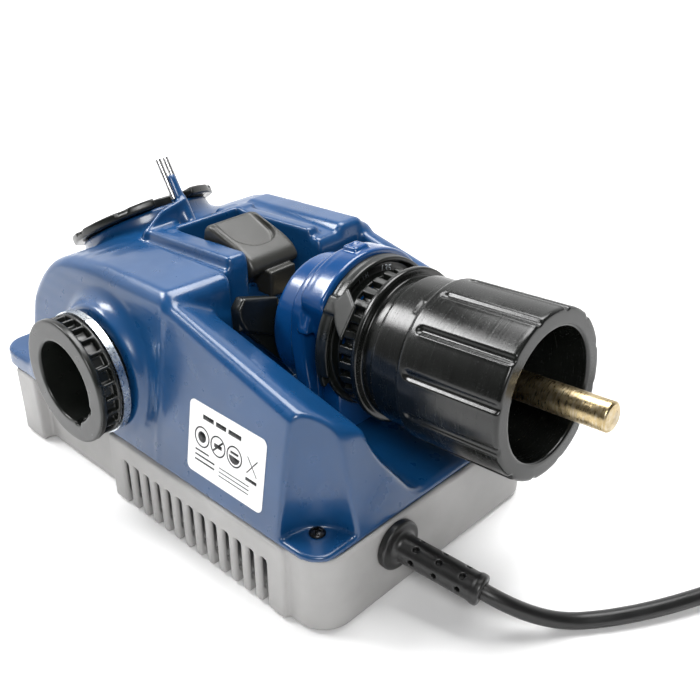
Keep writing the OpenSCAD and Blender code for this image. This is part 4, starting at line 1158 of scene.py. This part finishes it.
def build_screws():
    """The four housing screws' heads, each turned a different way."""
    for i, (x, y, z) in enumerate(SCREW_SEATS):
        place = CORNER @ at(x, y, z + 0.02) @ turn("Z", 25 + 40 * i)
        head = field_mesh("screw_head_%d" % i, pan_head, (-4, -4, 0), (4, 4, 3), 0.16, 0.08, place)
        stand_in(head, "housing_screws")


# ---- stage

def softbox(name, place, target, size, power):
    """Rectangular light that faces a target, in metres and watts."""
    light = bpy.data.lights.new(name, "AREA")
    light.shape = "RECTANGLE"
    light.size, light.size_y = size
    light.energy = power
    obj = linked(name, light)
    way = Vector(target) - Vector(place)
    obj.location = place
    obj.rotation_euler = way.to_track_quat("-Z", "Y").to_euler()


def set_world():
    """White to the camera. Reflections see a bright far wall under a dim ceiling."""
    world = bpy.data.worlds.new("studio")
    n = Nodes(world)
    around = n.coords("Generated")

    def band(direction, low, high):
        dot = n.add("ShaderNodeVectorMath", operation="DOT_PRODUCT")
        n.feed(dot.inputs[0], around)
        dot.inputs[1].default_value = direction
        return n.spread(dot.outputs["Value"], start=low, end=high, interpolation_type="SMOOTHSTEP")

    far_wall = n.math("MULTIPLY", band((0.6, 0.8, 0), -0.1, 0.45), band((0, 0, -1), -0.66, -0.5))
    level = n.spread(far_wall, 0.08, 1.15, 0.0, 1.0)
    camera_ray = n.add("ShaderNodeLightPath").outputs["Is Camera Ray"]
    background = n.tree.nodes["Background"]
    n.feed(background.inputs["Strength"], n.math("MAXIMUM", level, camera_ray))
    background.inputs["Color"].default_value = (1, 1, 1, 1)
    bpy.context.scene.world = world


def set_stage():
    """White floor that glows more with distance, white surroundings and three soft lights."""
    bm = bmesh.new()
    bmesh.ops.create_grid(bm, x_segments=8, y_segments=8, size=6.0)
    floor = bmesh_object("floor", bm, at(0, 0, -0.0002))
    n = Finish("floor_paint")
    away = n.add("ShaderNodeVectorMath", operation="LENGTH")
    n.feed(away.inputs[0], n.coords())
    n.set(Base_Color=(0.95, 0.95, 0.95, 1), Roughness=n.spread(n.noise(60.0), 0.86, 0.9))
    n.set(Emission_Color=(1, 1, 1, 1))
    n.set(Emission_Strength=n.spread(away.outputs["Value"], start=0.45, end=1.4))
    floor.data.materials.append(n.material)
    set_world()
    bpy.context.scene.view_settings.view_transform = "Standard"
    middle = (-0.05, 0.05, 0.06)
    softbox("ceiling_light", (0.22, 0.1, 0.95), middle, (0.75, 0.6), 14)
    softbox("left_light", (-0.42, 0.75, 0.95), middle, (0.5, 0.3), 10)
    softbox("camera_light", (-0.75, -0.75, 0.95), middle, (0.4, 0.4), 9)


def set_camera():
    """Camera above the machine's front left corner, with a slightly long lens."""
    camera = bpy.data.cameras.new("camera")
    camera.lens = 47.366
    camera.clip_end = 10
    obj = linked("camera", camera)
    obj.location = CORNER @ Vector((-187.6, -194.6, 290))
    pitch, heading = math.radians(29.1), math.radians(-46.5)
    obj.rotation_euler = (math.pi / 2 - pitch, 0, heading)
    bpy.context.scene.camera = obj


finish_cad_nodes()
build_pieces()
set_stage()
set_camera()
